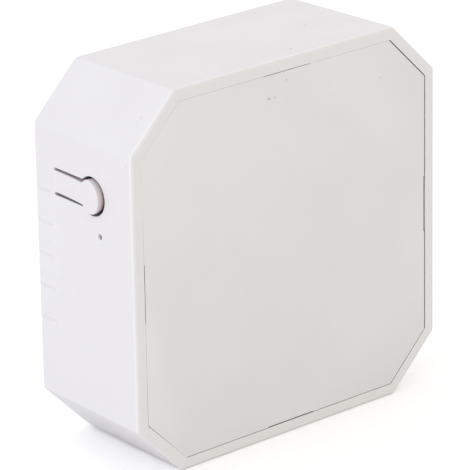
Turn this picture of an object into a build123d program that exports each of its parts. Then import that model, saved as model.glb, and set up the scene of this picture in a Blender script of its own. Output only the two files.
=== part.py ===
from build123d import *
import math
import os

# Smart shutter switch module: a white octagonal housing for a wall box, closed by a snap-in cover.
# The cover faces -Y, the wall with the button -X, and the wires come up through the bottom wall.
# The origin is under the middle of the housing, on the surface that it stands on. Lengths are in mm.
# A depth is measured from the front face to the rear. A rise is measured up from the module's middle.
# A stand is measured off the board, to the rear.

os.makedirs("parts", exist_ok=True)

# Housing
width = 46.0
height = 46.0
depth = 18.0
corner = 6.45
draft = 1.27
rim = 1.45
ledge = 0.55
rear_wall = 1.6
edge_round = 0.4

# Cover and its snap hooks
cover_thickness = 1.5
cover_gap = 0.08
notch_length = 7.0
notch_depth = 0.15
hook_width = 6.2
hook_thickness = 1.0
hook_length = 2.6
hook_gap = 0.15
bead_start = 1.0
bead_catch = 0.35
bead_flat = 0.3
bead_run = 1.3
bead_reach = 0.45
snap_clearance = 0.12

# Board and what holds it
board_thickness = 1.6
board_gap = 0.3
board_notch_gap = 0.3
pin_room = 1.4
pillar_inset = 5.4
pillar_radius = 1.6
post_inset = 5.8
post_width = 2.0
post_rib = 0.7
post_clearance = 0.05

# Button moulded in the left wall
button_depth = 7.33
button_rise = 10.1
pad_radius = 2.0
pad_gap = 0.345
pad_raise = 0.75
tongue_raise = 0.23
pad_bevel = 0.12
tongue_width = 2.6
tongue_thickness = 1.0
slot_width = 0.36
root_depth = 14.26
hinge_thickness = 0.6
hinge_length = 1.3
hinge_slope = 0.6
hinge_clearance = 0.04
nub_radius = 0.9
nub_length = 0.7
nub_bevel = 0.3
free_play = 0.03

# Pinhole of the light and finger grips
light_depth = 6.0
light_rise = 5.6
light_hole_radius = 0.35
grip_count = 5
grip_spacing = 3.94
grip_height = 1.7
grip_length = 3.9
grip_drop = 0.5
grip_cut = 0.28
grip_flank = 54.0

# Screw terminals
poles_per_block = 3
block_count = 2
block_depth = 8.2
block_headroom = 0.5
block_gap = 0.25
block_end_gap = 1.55
block_bevel = 1.2
chamber_width = 4.0
chamber_front = 1.2
chamber_back = 6.9
chamber_headroom = 0.4
shoulder = 0.8
mouth_width = 3.2
mouth_margin = 0.5
wire_hole_margin = 0.1
driver_hole_radius = 1.6

# Terminal screws, wire clamps and contacts
screw_setback = 3.4
shank_radius = 1.25
shank_end_gap = 0.2
thread_clearance = 0.04
neck_clearance = 0.15
head_radius = 1.8
head_clearance = 0.2
head_height = 1.65
head_gap = 0.05
head_recess = 0.5
screw_slot_width = 0.6
screw_slot_depth = 0.8
clamp_width = 3.8
clamp_depth = 3.8
clamp_stand = 0.4
clamp_floor = 0.8
clamp_top = 1.3
clamp_side_thickness = 0.6
clamp_edge_bevel = 0.3
clamp_travel = 1.8
contact_width = 2.2
contact_thickness = 0.8
contact_front = 1.9
contact_top_gap = 0.1
contact_leg = 5.7
pin_width = 1.0
pin_length = 2.6
lead_clearance = 0.15

# Tact switch behind the button
switch_width = 4.5
switch_depth = 3.5
switch_height = 4.6
frame_thickness = 0.25
frame_reach = 2.4
plunger_radius = 0.9
plunger_stand = 0.9
plunger_clearance = 0.05
flange_radius = 1.35
flange_depth = 0.5
press_travel = 0.25

# Side-view light
light_length = 3.0
light_thickness = 1.0
light_height = 2.0
light_setback = 0.3
lens_radius = 0.6
lens_bulge = 0.2

# Relays
relay_base = 1.2
relay_base_inset = 0.3
relay_round = 0.5
relay_bevel = 0.4
relay_gap = 0.4
relay_end_gap = 0.8
relay_side_gap = 1.4
relay_headroom = 1.5
relay_pin_width = 0.64
relay_pin_side_inset = 1.7
relay_pin_end_inset = 1.5
relay_pin_setback = 5.0

# Radio module
radio_height = 10.7
radio_thickness = 0.8
radio_gap = 0.6
radio_side_gap = 0.75
antenna_room = 5.6
shield_margin = 0.75
shield_height = 8.6
shield_stand = 2.0
shield_wall = 0.2
radio_chip_width = 5.0
radio_chip_height = 0.9

# Leads of the parts on the board, with few flats round them because there are many
lead_radius = 0.3
lead_sides = 8
lead_end = 2.6

# Capacitors of the power supply
can_round = 0.6
crimp_start = 1.2
crimp_width = 0.8
crimp_cut = 0.35
input_radius = 4.0
input_wall_gap = 0.7
part_gap = 0.7
column_gap = 0.85
input_lead_spacing = 3.5
input_lead_reach = 1.0
output_radius = 3.15
output_height = 7.7
output_gap = 0.5
output_lead_spacing = 2.5

# Varistor, resistor and inductor
varistor_radius = 3.85
varistor_thickness = 3.4
varistor_bevel = 1.0
varistor_stand = 0.9
varistor_lead_spacing = 5.0
resistor_radius = 1.25
resistor_waist = 1.05
resistor_length = 6.0
resistor_cap = 1.4
resistor_stand = 0.3
resistor_lead_span = 7.4
inductor_radius = 3.1
inductor_waist = 1.6
inductor_height = 8.0
inductor_flange = 1.1
winding_radius = 2.8
winding_gap = 0.04
inductor_lead_spacing = 4.0

# Flat packages on the board
package_slope = 7.0
leg_reach = 0.7
leg_thickness = 0.2
bridge_length = 4.7
bridge_breadth = 3.9
bridge_height = 2.5
bridge_leg_count = 2
bridge_leg_spacing = 2.54
bridge_leg_width = 0.7
converter_length = 4.9
converter_breadth = 3.9
converter_height = 1.5
converter_leg_count = 4
converter_leg_spacing = 1.27
converter_leg_width = 0.4
regulator_length = 4.5
regulator_breadth = 2.5
regulator_height = 1.5
regulator_leg_count = 3
regulator_leg_spacing = 1.5
regulator_leg_width = 0.45
driver_length = 2.9
driver_breadth = 1.3
driver_height = 1.0
driver_leg_count = 2
driver_leg_spacing = 1.9
driver_leg_width = 0.4
driver_count = 2
chip_resistor_length = 3.2
chip_resistor_breadth = 1.6
chip_resistor_height = 0.6
chip_resistor_spacing = 2.0
chip_resistor_count = 4
chip_resistor_gap = 0.3

# Values worked out from the sizes above
wall = rim + ledge
lean = math.radians(draft)
board_front = cover_thickness + pin_room
board_top = board_front + board_thickness
room_behind_board = depth - rear_wall - board_top
hinge_depth = root_depth - hinge_thickness / 2
corner_reach = (width / 2 + height / 2 - corner) / math.sqrt(2)
sides = ((0, width / 2), (90, height / 2), (180, width / 2), (270, height / 2))
corners = tuple((turn, corner_reach) for turn in (45, 135, 225, 315))

# Terminals: the poles share the flat part of the bottom wall, and the clamp's window gets what the
# other layers leave of the room behind the board
block_height = room_behind_board - block_headroom
head_stand = block_height - head_recess - head_height
chamber_height = head_stand - head_gap - shoulder
clamp_outer = chamber_height - chamber_headroom - clamp_travel - clamp_stand
clamp_window = clamp_outer - clamp_top - clamp_floor
mouth_height = clamp_window - mouth_margin
contact_stand = clamp_stand + clamp_floor + clamp_window - contact_top_gap - contact_thickness
wire_stand = (clamp_stand + clamp_floor + contact_stand) / 2
shank_stand = contact_stand + contact_thickness + shank_end_gap
wire_hole_radius = mouth_width / 2 + wire_hole_margin
pole_count = poles_per_block * block_count
pole_spacing = (width - 2 * corner - 2 * block_end_gap) / pole_count
block_width = pole_spacing * poles_per_block
poles = [(number - (pole_count - 1) / 2) * pole_spacing for number in range(pole_count)]


def narrowing(at_depth):
    """How far the draft brings a side wall in at a depth."""
    return at_depth * math.tan(lean)


def inner_reach(size, at_depth):
    """Distance from the middle to the inside of a side wall at a depth."""
    return size / 2 - wall - narrowing(at_depth)


def spread(start, end, lengths):
    """Middles of things laid in a row between two ends, with even gaps round them."""
    gap = (end - start - sum(lengths)) / (len(lengths) + 1)
    middles = []
    for length in lengths:
        start += gap + length
        middles.append(start - length / 2)
    return middles


def layer(at_depth):
    """Plane parallel to the cover at a depth: x to the right, y up, z out of the front."""
    return Plane(origin=(0, at_depth - depth / 2, height / 2), x_dir=(1, 0, 0), z_dir=(0, -1, 0))


def octagon(inset):
    """The front outline, drawn inside itself by an even inset."""
    Rectangle(width - 2 * inset, height - 2 * inset)
    chamfer(vertices(), corner - inset * (2 - math.sqrt(2)))


def drafted_octagon(inset, start, end):
    """Octagonal block between two depths, drawn inside the outer walls by an inset and as drafted."""
    with BuildPart(mode=Mode.PRIVATE) as block:
        with BuildSketch(layer(start)):
            octagon(inset)
        extrude(amount=start - end)
        for turn, reach in sides + corners:
            angle = math.radians(turn)
            across = Vector(math.cos(angle), 0, math.sin(angle))
            front_edge = Vector(0, -depth / 2, height / 2) + across * (reach - inset)
            outward = across * math.cos(lean) + Vector(0, 1, 0) * math.sin(lean)
            split(bisect_by=Plane(origin=front_edge, z_dir=outward), keep=Keep.BOTTOM)
    return block.part


def wall_section(turn, reach):
    """Plane across a side wall at a reach from the middle: x out of the wall, y to the rear."""
    angle = math.radians(turn)
    outward = Vector(math.cos(angle), 0, math.sin(angle))
    start = Vector(0, -depth / 2, height / 2) + outward * reach
    return Plane(origin=start, x_dir=outward, z_dir=(-math.sin(angle), 0, math.cos(angle)))


def upright(across, rise):
    """Plane across the module at a place on the board: x up, y off the board."""
    start = (across, board_top - depth / 2, height / 2 + rise)
    return Plane(origin=start, x_dir=(0, 0, 1), z_dir=(-1, 0, 0))


def level(across, rise):
    """Plane level with the ground at a place on the board: x to the right, y off the board."""
    start = (across, board_top - depth / 2, height / 2 + rise)
    return Plane(origin=start, x_dir=(1, 0, 0), z_dir=(0, 0, 1))


def bead_outline(margin):
    """Snap bead across a side wall, grown by a margin: it starts inside the hook's own thickness."""
    foot = -wall - hook_gap
    start = cover_thickness + bead_start
    Polyline(
        (foot - hook_thickness / 2, start - margin),
        (foot, start - margin),
        (foot + bead_reach + margin, start + bead_catch - margin),
        (foot + bead_reach + margin, start + bead_catch + bead_flat + margin),
        (foot, start + bead_run + margin),
        (foot - hook_thickness / 2, start + bead_run + margin),
        close=True,
    )


def finish(piece, label):
    """Names a finished piece and writes it."""
    piece.part.label = label
    export_step(piece.part, f"parts/{label}.step")


# Outer face of the left wall: x to the front, y up, z out of the wall
button_wall = Plane(
    origin=(-width / 2, -depth / 2, height / 2),
    x_dir=(-math.sin(lean), -math.cos(lean), 0),
    z_dir=(-math.cos(lean), math.sin(lean), 0),
)
# Outer face of the right wall: x to the rear, y up, z out of the wall
plain_wall = Plane(
    origin=(width / 2, -depth / 2, height / 2),
    x_dir=(-math.sin(lean), math.cos(lean), 0),
    z_dir=(math.cos(lean), math.sin(lean), 0),
)
# Section along the middle of the tongue: x to the front, y into the module
tongue_section = Plane(
    origin=button_wall.from_local_coords((0, button_rise, 0)),
    x_dir=button_wall.x_dir,
    z_dir=(0, 0, 1),
)
nub_tip = button_wall.from_local_coords((-button_depth, button_rise, -tongue_thickness - nub_length))
# Front of the tact switch: x up, y off the board, z towards the button
switch_front = Plane(
    origin=(nub_tip.X + free_play + plunger_stand, nub_tip.Y, nub_tip.Z),
    x_dir=(0, 0, 1),
    z_dir=(-1, 0, 0),
)
plunger_stand_off = nub_tip.Y - (board_top - depth / 2)
light_face = -inner_reach(width, light_depth) + light_setback + lens_bulge

# Terminals stand on the bottom wall, and pillars stand in the corners
block_face = -inner_reach(height, board_top + block_height) + block_gap
block_top = block_face + block_depth
screw_rise = block_face + screw_setback
pin_rise = block_face + contact_leg + contact_thickness / 2
pillar_across = width / 2 - pillar_inset
pillar_rise = height / 2 - pillar_inset

# Relays side by side, from the power supply to the right wall and from the terminals to the radio
input_across = -inner_reach(width, board_top + input_radius) + input_wall_gap + input_radius
column_across = input_across + input_radius + column_gap + varistor_radius
relay_height = room_behind_board - relay_headroom
relay_left = column_across + varistor_radius + relay_side_gap
relay_right = inner_reach(width, board_top + relay_height) - relay_gap
relay_bottom = block_top + relay_end_gap
relay_top = inner_reach(height, board_top) - radio_gap - radio_height - relay_end_gap
relay_width = (relay_right - relay_left - relay_gap) / 2
relay_length = relay_top - relay_bottom
relay_rise = (relay_top + relay_bottom) / 2
relay_pin_across = relay_width - 2 * relay_pin_side_inset
relay_pin_along = relay_length - 2 * relay_pin_end_inset
relay_places = {
    "relay_down": (relay_right - relay_width / 2, relay_rise),
    "relay_up": (relay_left + relay_width / 2, relay_rise),
}

# Radio above the relays, up to the corner's pillar
radio_right = pillar_across - pillar_radius - radio_side_gap
radio_length = radio_right - relay_left
radio_place = ((relay_left + radio_right) / 2, relay_top + relay_end_gap + radio_height / 2)
shield_length = radio_length - antenna_room - shield_margin
shield_place = (radio_right - shield_margin - shield_length / 2, radio_place[1])

# Power supply: a column from the terminals to the top wall, a row along that wall, and the parts beside it
package_rims = 2 * leg_reach
varistor_rise, resistor_rise, inductor_rise, bridge_rise, output_rise, top_row_rise = spread(
    block_top,
    inner_reach(height, board_top),
    [
        varistor_thickness,
        2 * resistor_radius,
        2 * inductor_radius,
        bridge_breadth + package_rims,
        2 * output_radius,
        regulator_breadth + package_rims,
    ],
)
*driver_row, regulator_across = spread(
    pillar_radius - pillar_across,
    relay_left,
    [driver_length] * driver_count + [regulator_length],
)
converter_across, bridge_across = spread(
    light_face + light_thickness,
    relay_left,
    [converter_length, bridge_length],
)
chip_resistor_across = switch_front.origin.X + switch_depth + chip_resistor_gap + chip_resistor_length / 2
chip_resistor_column = chip_resistor_spacing * (chip_resistor_count - 1) + chip_resistor_breadth
chip_resistor_top = top_row_rise - (driver_breadth + package_rims) / 2 - part_gap
converter_top = chip_resistor_top - chip_resistor_column - part_gap
converter_bottom = converter_top - converter_breadth - package_rims
input_lead_rise = converter_bottom - part_gap - lead_radius
input_top = input_lead_rise - input_lead_reach
input_length = input_top - block_top - part_gap
output_place = (chip_resistor_across + chip_resistor_length / 2 + output_gap + output_radius, output_rise)
varistor_place = (column_across, varistor_rise)
resistor_place = (column_across, resistor_rise)
inductor_place = (column_across, inductor_rise)

# Housing: drafted octagonal shell with a rear wall and a seat for the cover
with BuildPart() as housing:
    add(drafted_octagon(0, 0, depth))
    fillet(housing.edges(), edge_round)
    with BuildSketch(layer(0)):
        octagon(rim)
    extrude(amount=-cover_thickness, mode=Mode.SUBTRACT)
    add(drafted_octagon(wall, cover_thickness, depth - rear_wall), mode=Mode.SUBTRACT)

    # Grooves for the beads of the snap hooks
    for turn, reach in sides:
        with BuildSketch(wall_section(turn, reach)):
            with BuildLine():
                bead_outline(snap_clearance)
            make_face()
        extrude(amount=hook_width / 2 + snap_clearance, both=True, mode=Mode.SUBTRACT)

    # Pillars in the corners, which the board rests on
    with BuildSketch(layer(board_top)):
        with GridLocations(2 * pillar_across, 2 * pillar_rise, 2, 2):
            Circle(pillar_radius)
    extrude(amount=-(depth - board_top - rear_wall / 2))

    # Wire holes through the bottom wall and driver holes through the rear wall
    with BuildSketch(Plane.XY):
        with Locations((0, board_top + wire_stand - depth / 2)):
            with GridLocations(pole_spacing, pole_spacing, pole_count, 1):
                Circle(wire_hole_radius)
    extrude(amount=height / 2 + block_face, mode=Mode.SUBTRACT)
    with BuildSketch(layer(depth)):
        with Locations((0, screw_rise)):
            with GridLocations(pole_spacing, pole_spacing, pole_count, 1):
                Circle(driver_hole_radius)
    extrude(amount=2 * rear_wall, mode=Mode.SUBTRACT)

    # Opening round the button: the pad's hole, the tongue's bay and a slot each side of its root
    with BuildSketch(button_wall):
        with Locations((-button_depth, button_rise)):
            Circle(pad_radius + pad_gap)
        with Locations((-hinge_depth, button_rise)):
            Rectangle(
                hinge_depth - button_depth,
                tongue_width + 2 * slot_width,
                align=(Align.MIN, Align.CENTER),
            )
            with GridLocations(tongue_width, tongue_width + slot_width, 1, 2):
                SlotOverall(2 * (root_depth - hinge_depth), slot_width)
    extrude(amount=-2 * wall, mode=Mode.SUBTRACT)
    with BuildSketch(tongue_section):
        with Locations((-hinge_depth, hinge_thickness / 2)):
            Circle(hinge_thickness / 2 + hinge_clearance)
    extrude(amount=tongue_width / 2 + hinge_clearance, both=True, mode=Mode.SUBTRACT)

    # Pinhole of the status light
    with BuildSketch(button_wall):
        with Locations((-light_depth, light_rise)):
            Circle(light_hole_radius)
    extrude(amount=-2 * wall, mode=Mode.SUBTRACT)

    # Finger grips at the rear of both side walls, deepest along their upper edge
    grip_slope = math.atan2(grip_cut, grip_height)
    for outer_face, rearward in ((button_wall, -1), (plain_wall, 1)):
        for number in range(grip_count):
            lower_edge = (number - (grip_count - 1) / 2) * grip_spacing - grip_height / 2 - grip_drop
            grip_floor = Plane(
                origin=outer_face.from_local_coords((0, lower_edge, 0)),
                x_dir=outer_face.x_dir,
                z_dir=outer_face.z_dir * math.cos(grip_slope) + outer_face.y_dir * math.sin(grip_slope),
            )
            with BuildSketch(grip_floor):
                with Locations((rearward * depth, grip_height / 2)):
                    SlotOverall(2 * grip_length, grip_height)
            extrude(amount=wall, taper=-grip_flank, mode=Mode.SUBTRACT)
finish(housing, "housing")

# Cover plate: flush in the rim, with four hooks behind it and four cross-shaped posts that hold the board
with BuildPart() as cover_plate:
    with BuildSketch(layer(0)):
        octagon(rim + cover_gap)
        for turn, reach in sides:
            with Locations(Location((0, 0, 0), (0, 0, turn))):
                with Locations((reach - rim - cover_gap, 0)):
                    Rectangle(2 * notch_depth, notch_length, mode=Mode.SUBTRACT)
    extrude(amount=-cover_thickness)
    for turn, reach in sides:
        with BuildSketch(wall_section(turn, reach)):
            with Locations((-wall - hook_gap, cover_thickness)):
                Rectangle(hook_thickness, hook_length, align=(Align.MAX, Align.MIN))
            with BuildLine():
                bead_outline(0)
            make_face()
        extrude(amount=hook_width / 2, both=True)
    with BuildSketch(layer(cover_thickness)):
        with GridLocations(width - 2 * post_inset, height - 2 * post_inset, 2, 2):
            Rectangle(post_width, post_rib)
            Rectangle(post_rib, post_width)
    extrude(amount=-(pin_room - post_clearance))
finish(cover_plate, "cover_plate")

# Learn button: thin root, springy tongue that curves out to the tilted pad, and the nub behind the pad
pad_slope = Vector(2 * pad_radius, tongue_raise - pad_raise)
pad_face = Plane(
    origin=tongue_section.from_local_coords((-button_depth - pad_radius, -tongue_raise, 0)),
    z_dir=tongue_section.from_local_coords(pad_slope.rotate(Axis.Z, -90)) - tongue_section.origin,
)
with BuildPart() as learn_button:
    with BuildSketch(button_wall.offset(-tongue_thickness)):
        with Locations((-button_depth, button_rise)):
            Circle(pad_radius)
    extrude(amount=tongue_thickness + 2 * pad_raise)
    split(bisect_by=pad_face, keep=Keep.BOTTOM)
    chamfer(learn_button.faces().filter_by(pad_face).edges(), pad_bevel)
    with BuildSketch(tongue_section):
        with BuildLine():
            TangentArc((-hinge_depth, 0), (-button_depth - pad_radius, -tongue_raise), tangent=(1, 0))
            Polyline(
                (-button_depth - pad_radius, -tongue_raise),
                (-button_depth, -(tongue_raise + pad_raise) / 2),
                (-button_depth, tongue_thickness),
                (-hinge_depth + hinge_length + hinge_slope, tongue_thickness),
                (-hinge_depth + hinge_length, hinge_thickness),
                (-hinge_depth, hinge_thickness),
            )
            ThreePointArc(
                (-hinge_depth, hinge_thickness),
                (-hinge_depth - hinge_thickness / 2, hinge_thickness / 2),
                (-hinge_depth, 0),
            )
        make_face()
    extrude(amount=tongue_width / 2, both=True)
    with BuildSketch(button_wall.offset(-tongue_thickness)):
        with Locations((-button_depth, button_rise)):
            Circle(nub_radius)
    extrude(amount=-nub_length)
    nub_face = learn_button.faces().sort_by(Axis(button_wall.origin, button_wall.z_dir))[0]
    chamfer(nub_face.edges(), nub_bevel)
finish(learn_button, "learn_button")

# Leads of the parts on the board, as places across and up, by radius of their holes
contact_leads = [(across, pin_rise) for across in poles]
relay_leads = [
    (across + side * relay_pin_across / 2, rise + along * relay_pin_along / 2)
    for across, rise in relay_places.values()
    for side in (-1, 1)
    for along in (-1, 1)
] + [(across, rise + relay_pin_along / 2 - relay_pin_setback) for across, rise in relay_places.values()]
part_leads = [
    (input_across - input_lead_spacing / 2, input_lead_rise),
    (input_across + input_lead_spacing / 2, input_lead_rise),
]
for (across, rise), spacing in (
    (output_place, output_lead_spacing),
    (varistor_place, varistor_lead_spacing),
    (resistor_place, resistor_lead_span),
    (inductor_place, inductor_lead_spacing),
):
    part_leads += [(across - spacing / 2, rise), (across + spacing / 2, rise)]


def lead_hole(lead_reach):
    """Hole in the board, wider than a lead by its clearance."""
    RegularPolygon(lead_reach + lead_clearance, lead_sides, major_radius=False, mode=Mode.SUBTRACT)


# Main board: follows the housing's inside, notched for the hooks, drilled for every lead
with BuildPart() as main_board:
    with BuildSketch(layer(board_front)):
        octagon(wall + narrowing(board_top) + board_gap)
        for turn, reach in sides:
            hook_inside = reach - wall - hook_gap - hook_thickness - board_notch_gap
            with Locations(Location((0, 0, 0), (0, 0, turn))):
                with Locations((hook_inside, 0)):
                    Rectangle(
                        reach - hook_inside,
                        hook_width + 2 * board_notch_gap,
                        align=(Align.MIN, Align.CENTER),
                        mode=Mode.SUBTRACT,
                    )
        with Locations(*contact_leads):
            lead_hole(math.hypot(pin_width, contact_thickness) / 2)
        with Locations(*relay_leads):
            lead_hole(math.hypot(relay_pin_width, relay_pin_width) / 2)
        with Locations(*part_leads):
            lead_hole(lead_radius)
    extrude(amount=-board_thickness)
finish(main_board, "main_board")

# Terminal blocks: a row of chambers, each with a wire mouth, a screw well and an open foot
for number, label in enumerate(("terminal_block_left", "terminal_block_right")):
    middle = (number - (block_count - 1) / 2) * block_width
    block_poles = poles[number * poles_per_block:(number + 1) * poles_per_block]
    with BuildPart() as terminal_block:
        with BuildSketch(upright(middle, block_face)):
            Rectangle(block_depth, block_height, align=(Align.MIN, Align.MIN))
            chamfer(vertices().group_by(Axis.Y)[-1].sort_by(Axis.X)[-1], block_bevel)
        extrude(amount=block_width / 2, both=True)
        for across in block_poles:
            with BuildSketch(upright(across, block_face)):
                with Locations((chamber_front, 0)):
                    Rectangle(chamber_back - chamber_front, chamber_height, align=(Align.MIN, Align.MIN))
            extrude(amount=chamber_width / 2, both=True, mode=Mode.SUBTRACT)
            with BuildSketch(upright(across, block_face)):
                with Locations((0, wire_stand)):
                    Rectangle(2 * chamber_front, mouth_height)
            extrude(amount=mouth_width / 2, both=True, mode=Mode.SUBTRACT)
        with BuildSketch(layer(board_top + chamber_height)):
            with Locations(*[(across, screw_rise) for across in block_poles]):
                Circle(shank_radius + neck_clearance)
        extrude(amount=-shoulder, mode=Mode.SUBTRACT)
        with BuildSketch(layer(board_top + chamber_height + shoulder)):
            with Locations(*[(across, screw_rise) for across in block_poles]):
                Circle(head_radius + head_clearance)
        extrude(amount=-block_height, mode=Mode.SUBTRACT)
    finish(terminal_block, label)

# Each pole: a captive screw, the clamp that it draws up on the wire, and a contact bar with its pin
for number, across in enumerate(poles, start=1):
    with BuildPart() as terminal_screw:
        with BuildSketch(layer(board_top + head_stand)):
            with Locations((across, screw_rise)):
                Circle(head_radius)
        extrude(amount=-head_height)
        with BuildSketch(layer(board_top + shank_stand)):
            with Locations((across, screw_rise)):
                Circle(shank_radius)
        extrude(amount=-(head_stand - shank_stand))
        with BuildSketch(layer(board_top + head_stand + head_height)):
            with Locations((across, screw_rise)):
                Rectangle(screw_slot_width, 3 * head_radius)
        extrude(amount=screw_slot_depth, mode=Mode.SUBTRACT)
    finish(terminal_screw, f"terminal_screw_{number}")

    with BuildPart() as wire_clamp:
        with BuildSketch(level(across, screw_rise)):
            with Locations((0, clamp_stand)):
                Rectangle(clamp_width, clamp_outer, align=(Align.CENTER, Align.MIN))
                chamfer(vertices(), clamp_edge_bevel)
            with Locations((0, clamp_stand + clamp_floor)):
                Rectangle(
                    clamp_width - 2 * clamp_side_thickness,
                    clamp_window,
                    align=(Align.CENTER, Align.MIN),
                    mode=Mode.SUBTRACT,
                )
        extrude(amount=clamp_depth / 2, both=True)
        with BuildSketch(layer(board_top + clamp_stand + clamp_outer)):
            with Locations((across, screw_rise)):
                Circle(shank_radius + thread_clearance)
        extrude(amount=clamp_top + clamp_floor, mode=Mode.SUBTRACT)
    finish(wire_clamp, f"wire_clamp_{number}")

    with BuildPart() as terminal_contact:
        with BuildSketch(upright(across, block_face)):
            with Locations((contact_front, contact_stand)):
                Rectangle(
                    contact_leg + contact_thickness - contact_front,
                    contact_thickness,
                    align=(Align.MIN, Align.MIN),
                )
            with Locations((contact_leg, 0)):
                Rectangle(contact_thickness, contact_stand, align=(Align.MIN, Align.MIN))
        extrude(amount=contact_width / 2, both=True)
        with BuildSketch(upright(across, block_face)):
            with Locations((contact_leg, 0)):
                Rectangle(contact_thickness, pin_length, align=(Align.MIN, Align.MAX))
        extrude(amount=pin_width / 2, both=True)
    finish(terminal_contact, f"terminal_contact_{number}")

# Tact switch: base on the board, pressed frame over it, and the plunger between them
with BuildPart() as switch_base:
    with BuildSketch(switch_front.offset(-frame_thickness)):
        with Locations((0, -plunger_stand_off)):
            Rectangle(switch_width - 2 * frame_thickness, switch_height, align=(Align.CENTER, Align.MIN))
    extrude(amount=-(switch_depth - frame_thickness))
    with BuildSketch(switch_front.offset(-frame_thickness)):
        Circle(flange_radius + plunger_clearance)
    extrude(amount=-(flange_depth + press_travel + 2 * plunger_clearance), mode=Mode.SUBTRACT)
finish(switch_base, "switch_base")

with BuildPart() as switch_frame:
    with BuildSketch(switch_front):
        with Locations((0, -plunger_stand_off)):
            Rectangle(switch_width, switch_height, align=(Align.CENTER, Align.MIN))
        Circle(plunger_radius + plunger_clearance, mode=Mode.SUBTRACT)
    extrude(amount=-frame_thickness)
    with BuildSketch(switch_front):
        with Locations((0, switch_height / 2 - plunger_stand_off)):
            with GridLocations(switch_width - frame_thickness, switch_height, 2, 1):
                Rectangle(frame_thickness, switch_height)
    extrude(amount=-frame_reach)
finish(switch_frame, "switch_frame")

with BuildPart() as switch_plunger:
    with BuildSketch(switch_front.offset(-frame_thickness - plunger_clearance)):
        Circle(flange_radius)
    extrude(amount=-flange_depth)
    with BuildSketch(switch_front.offset(-frame_thickness - plunger_clearance)):
        Circle(plunger_radius)
    extrude(amount=frame_thickness + plunger_clearance + plunger_stand)
finish(switch_plunger, "switch_plunger")

# Status light: a side-view package whose lens looks at the pinhole
light_front = Plane(
    origin=(light_face, light_depth - depth / 2, height / 2 + light_rise),
    x_dir=(0, 0, 1),
    z_dir=(-1, 0, 0),
)
with BuildPart() as status_led:
    with BuildSketch(light_front):
        with Locations((0, board_top - light_depth)):
            Rectangle(light_length, light_height, align=(Align.CENTER, Align.MIN))
    extrude(amount=-light_thickness)
    with BuildSketch(light_front):
        Circle(lens_radius)
    extrude(amount=lens_bulge)
    chamfer(status_led.faces().sort_by(Axis.X)[0].edges(), lens_bulge / 2)
finish(status_led, "status_led")

# Relays: a base with five pins and a sealed case on it
for name, place in relay_places.items():
    with BuildPart() as relay_foot:
        with BuildSketch(layer(board_top)):
            with Locations(place):
                Rectangle(relay_width - 2 * relay_base_inset, relay_length - 2 * relay_base_inset)
        extrude(amount=-relay_base)
        with BuildSketch(layer(board_top)):
            with Locations(*[lead for lead in relay_leads if abs(lead[0] - place[0]) < relay_width / 2]):
                Rectangle(relay_pin_width, relay_pin_width)
        extrude(amount=lead_end)
    finish(relay_foot, f"{name}_base")

    with BuildPart() as relay_case:
        with BuildSketch(layer(board_top + relay_base)):
            with Locations(place):
                RectangleRounded(relay_width, relay_length, relay_round)
        extrude(amount=-(relay_height - relay_base))
        chamfer(relay_case.faces().sort_by(Axis.Y)[-1].edges(), relay_bevel)
    finish(relay_case, f"{name}_case")

# Radio module: its own small board, a chip and the shield can over it
with BuildPart() as radio_board:
    with BuildSketch(layer(board_top)):
        with Locations(radio_place):
            Rectangle(radio_length, radio_height)
    extrude(amount=-radio_thickness)
finish(radio_board, "radio_board")

with BuildPart() as radio_chip:
    with BuildSketch(layer(board_top + radio_thickness)):
        with Locations(shield_place):
            Rectangle(radio_chip_width, radio_chip_width)
    extrude(amount=-radio_chip_height)
finish(radio_chip, "radio_chip")

with BuildPart() as radio_shield:
    with BuildSketch(layer(board_top + radio_thickness)):
        with Locations(shield_place):
            Rectangle(shield_length, shield_height)
    extrude(amount=-shield_stand)
    offset(amount=-shield_wall, openings=radio_shield.faces().sort_by(Axis.Y)[0])
finish(radio_shield, "radio_shield")


def can_outline(radius, length):
    """Half outline of a capacitor can: rolled edges and the crimp over its seal."""
    Polyline(
        (0, 0),
        (radius - can_round, 0),
        (radius, can_round),
        (radius, crimp_start),
        (radius - crimp_cut, crimp_start + crimp_width / 2),
        (radius, crimp_start + crimp_width),
        (radius, length - can_round),
        (radius - can_round, length),
        (0, length),
        close=True,
    )


# Input capacitor: lies along the left wall, its leads bent down into the board
with BuildPart() as input_capacitor:
    can_seal = upright(input_across, input_top)
    can_axis = Axis(can_seal.from_local_coords((0, input_radius, 0)), can_seal.x_dir)
    with BuildSketch(Plane(can_axis.position, x_dir=can_seal.y_dir, z_dir=(-1, 0, 0))):
        with BuildLine():
            can_outline(input_radius, input_length)
        make_face()
    revolve(axis=can_axis)
    for side in (-1, 1):
        start = upright(input_across + side * input_lead_spacing / 2, input_top)
        with BuildLine(start) as lead_route:
            Polyline(
                (-1, input_radius),
                (input_lead_reach, input_radius),
                (input_lead_reach, -lead_end),
            )
        with BuildSketch(lead_route.line ^ 0):
            RegularPolygon(lead_radius, lead_sides)
        sweep(path=lead_route.line, transition=Transition.RIGHT)
finish(input_capacitor, "input_capacitor")

# Output capacitor: stands on its seal
with BuildPart() as output_capacitor:
    can_base = level(*output_place)
    with BuildSketch(can_base):
        with BuildLine():
            can_outline(output_radius, output_height)
        make_face()
    revolve(axis=Axis(can_base.origin, can_base.y_dir))
    with BuildSketch(layer(board_top)):
        with Locations(output_place):
            with GridLocations(output_lead_spacing, output_lead_spacing, 2, 1):
                RegularPolygon(lead_radius, lead_sides)
    extrude(amount=lead_end)
finish(output_capacitor, "output_capacitor")

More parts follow.
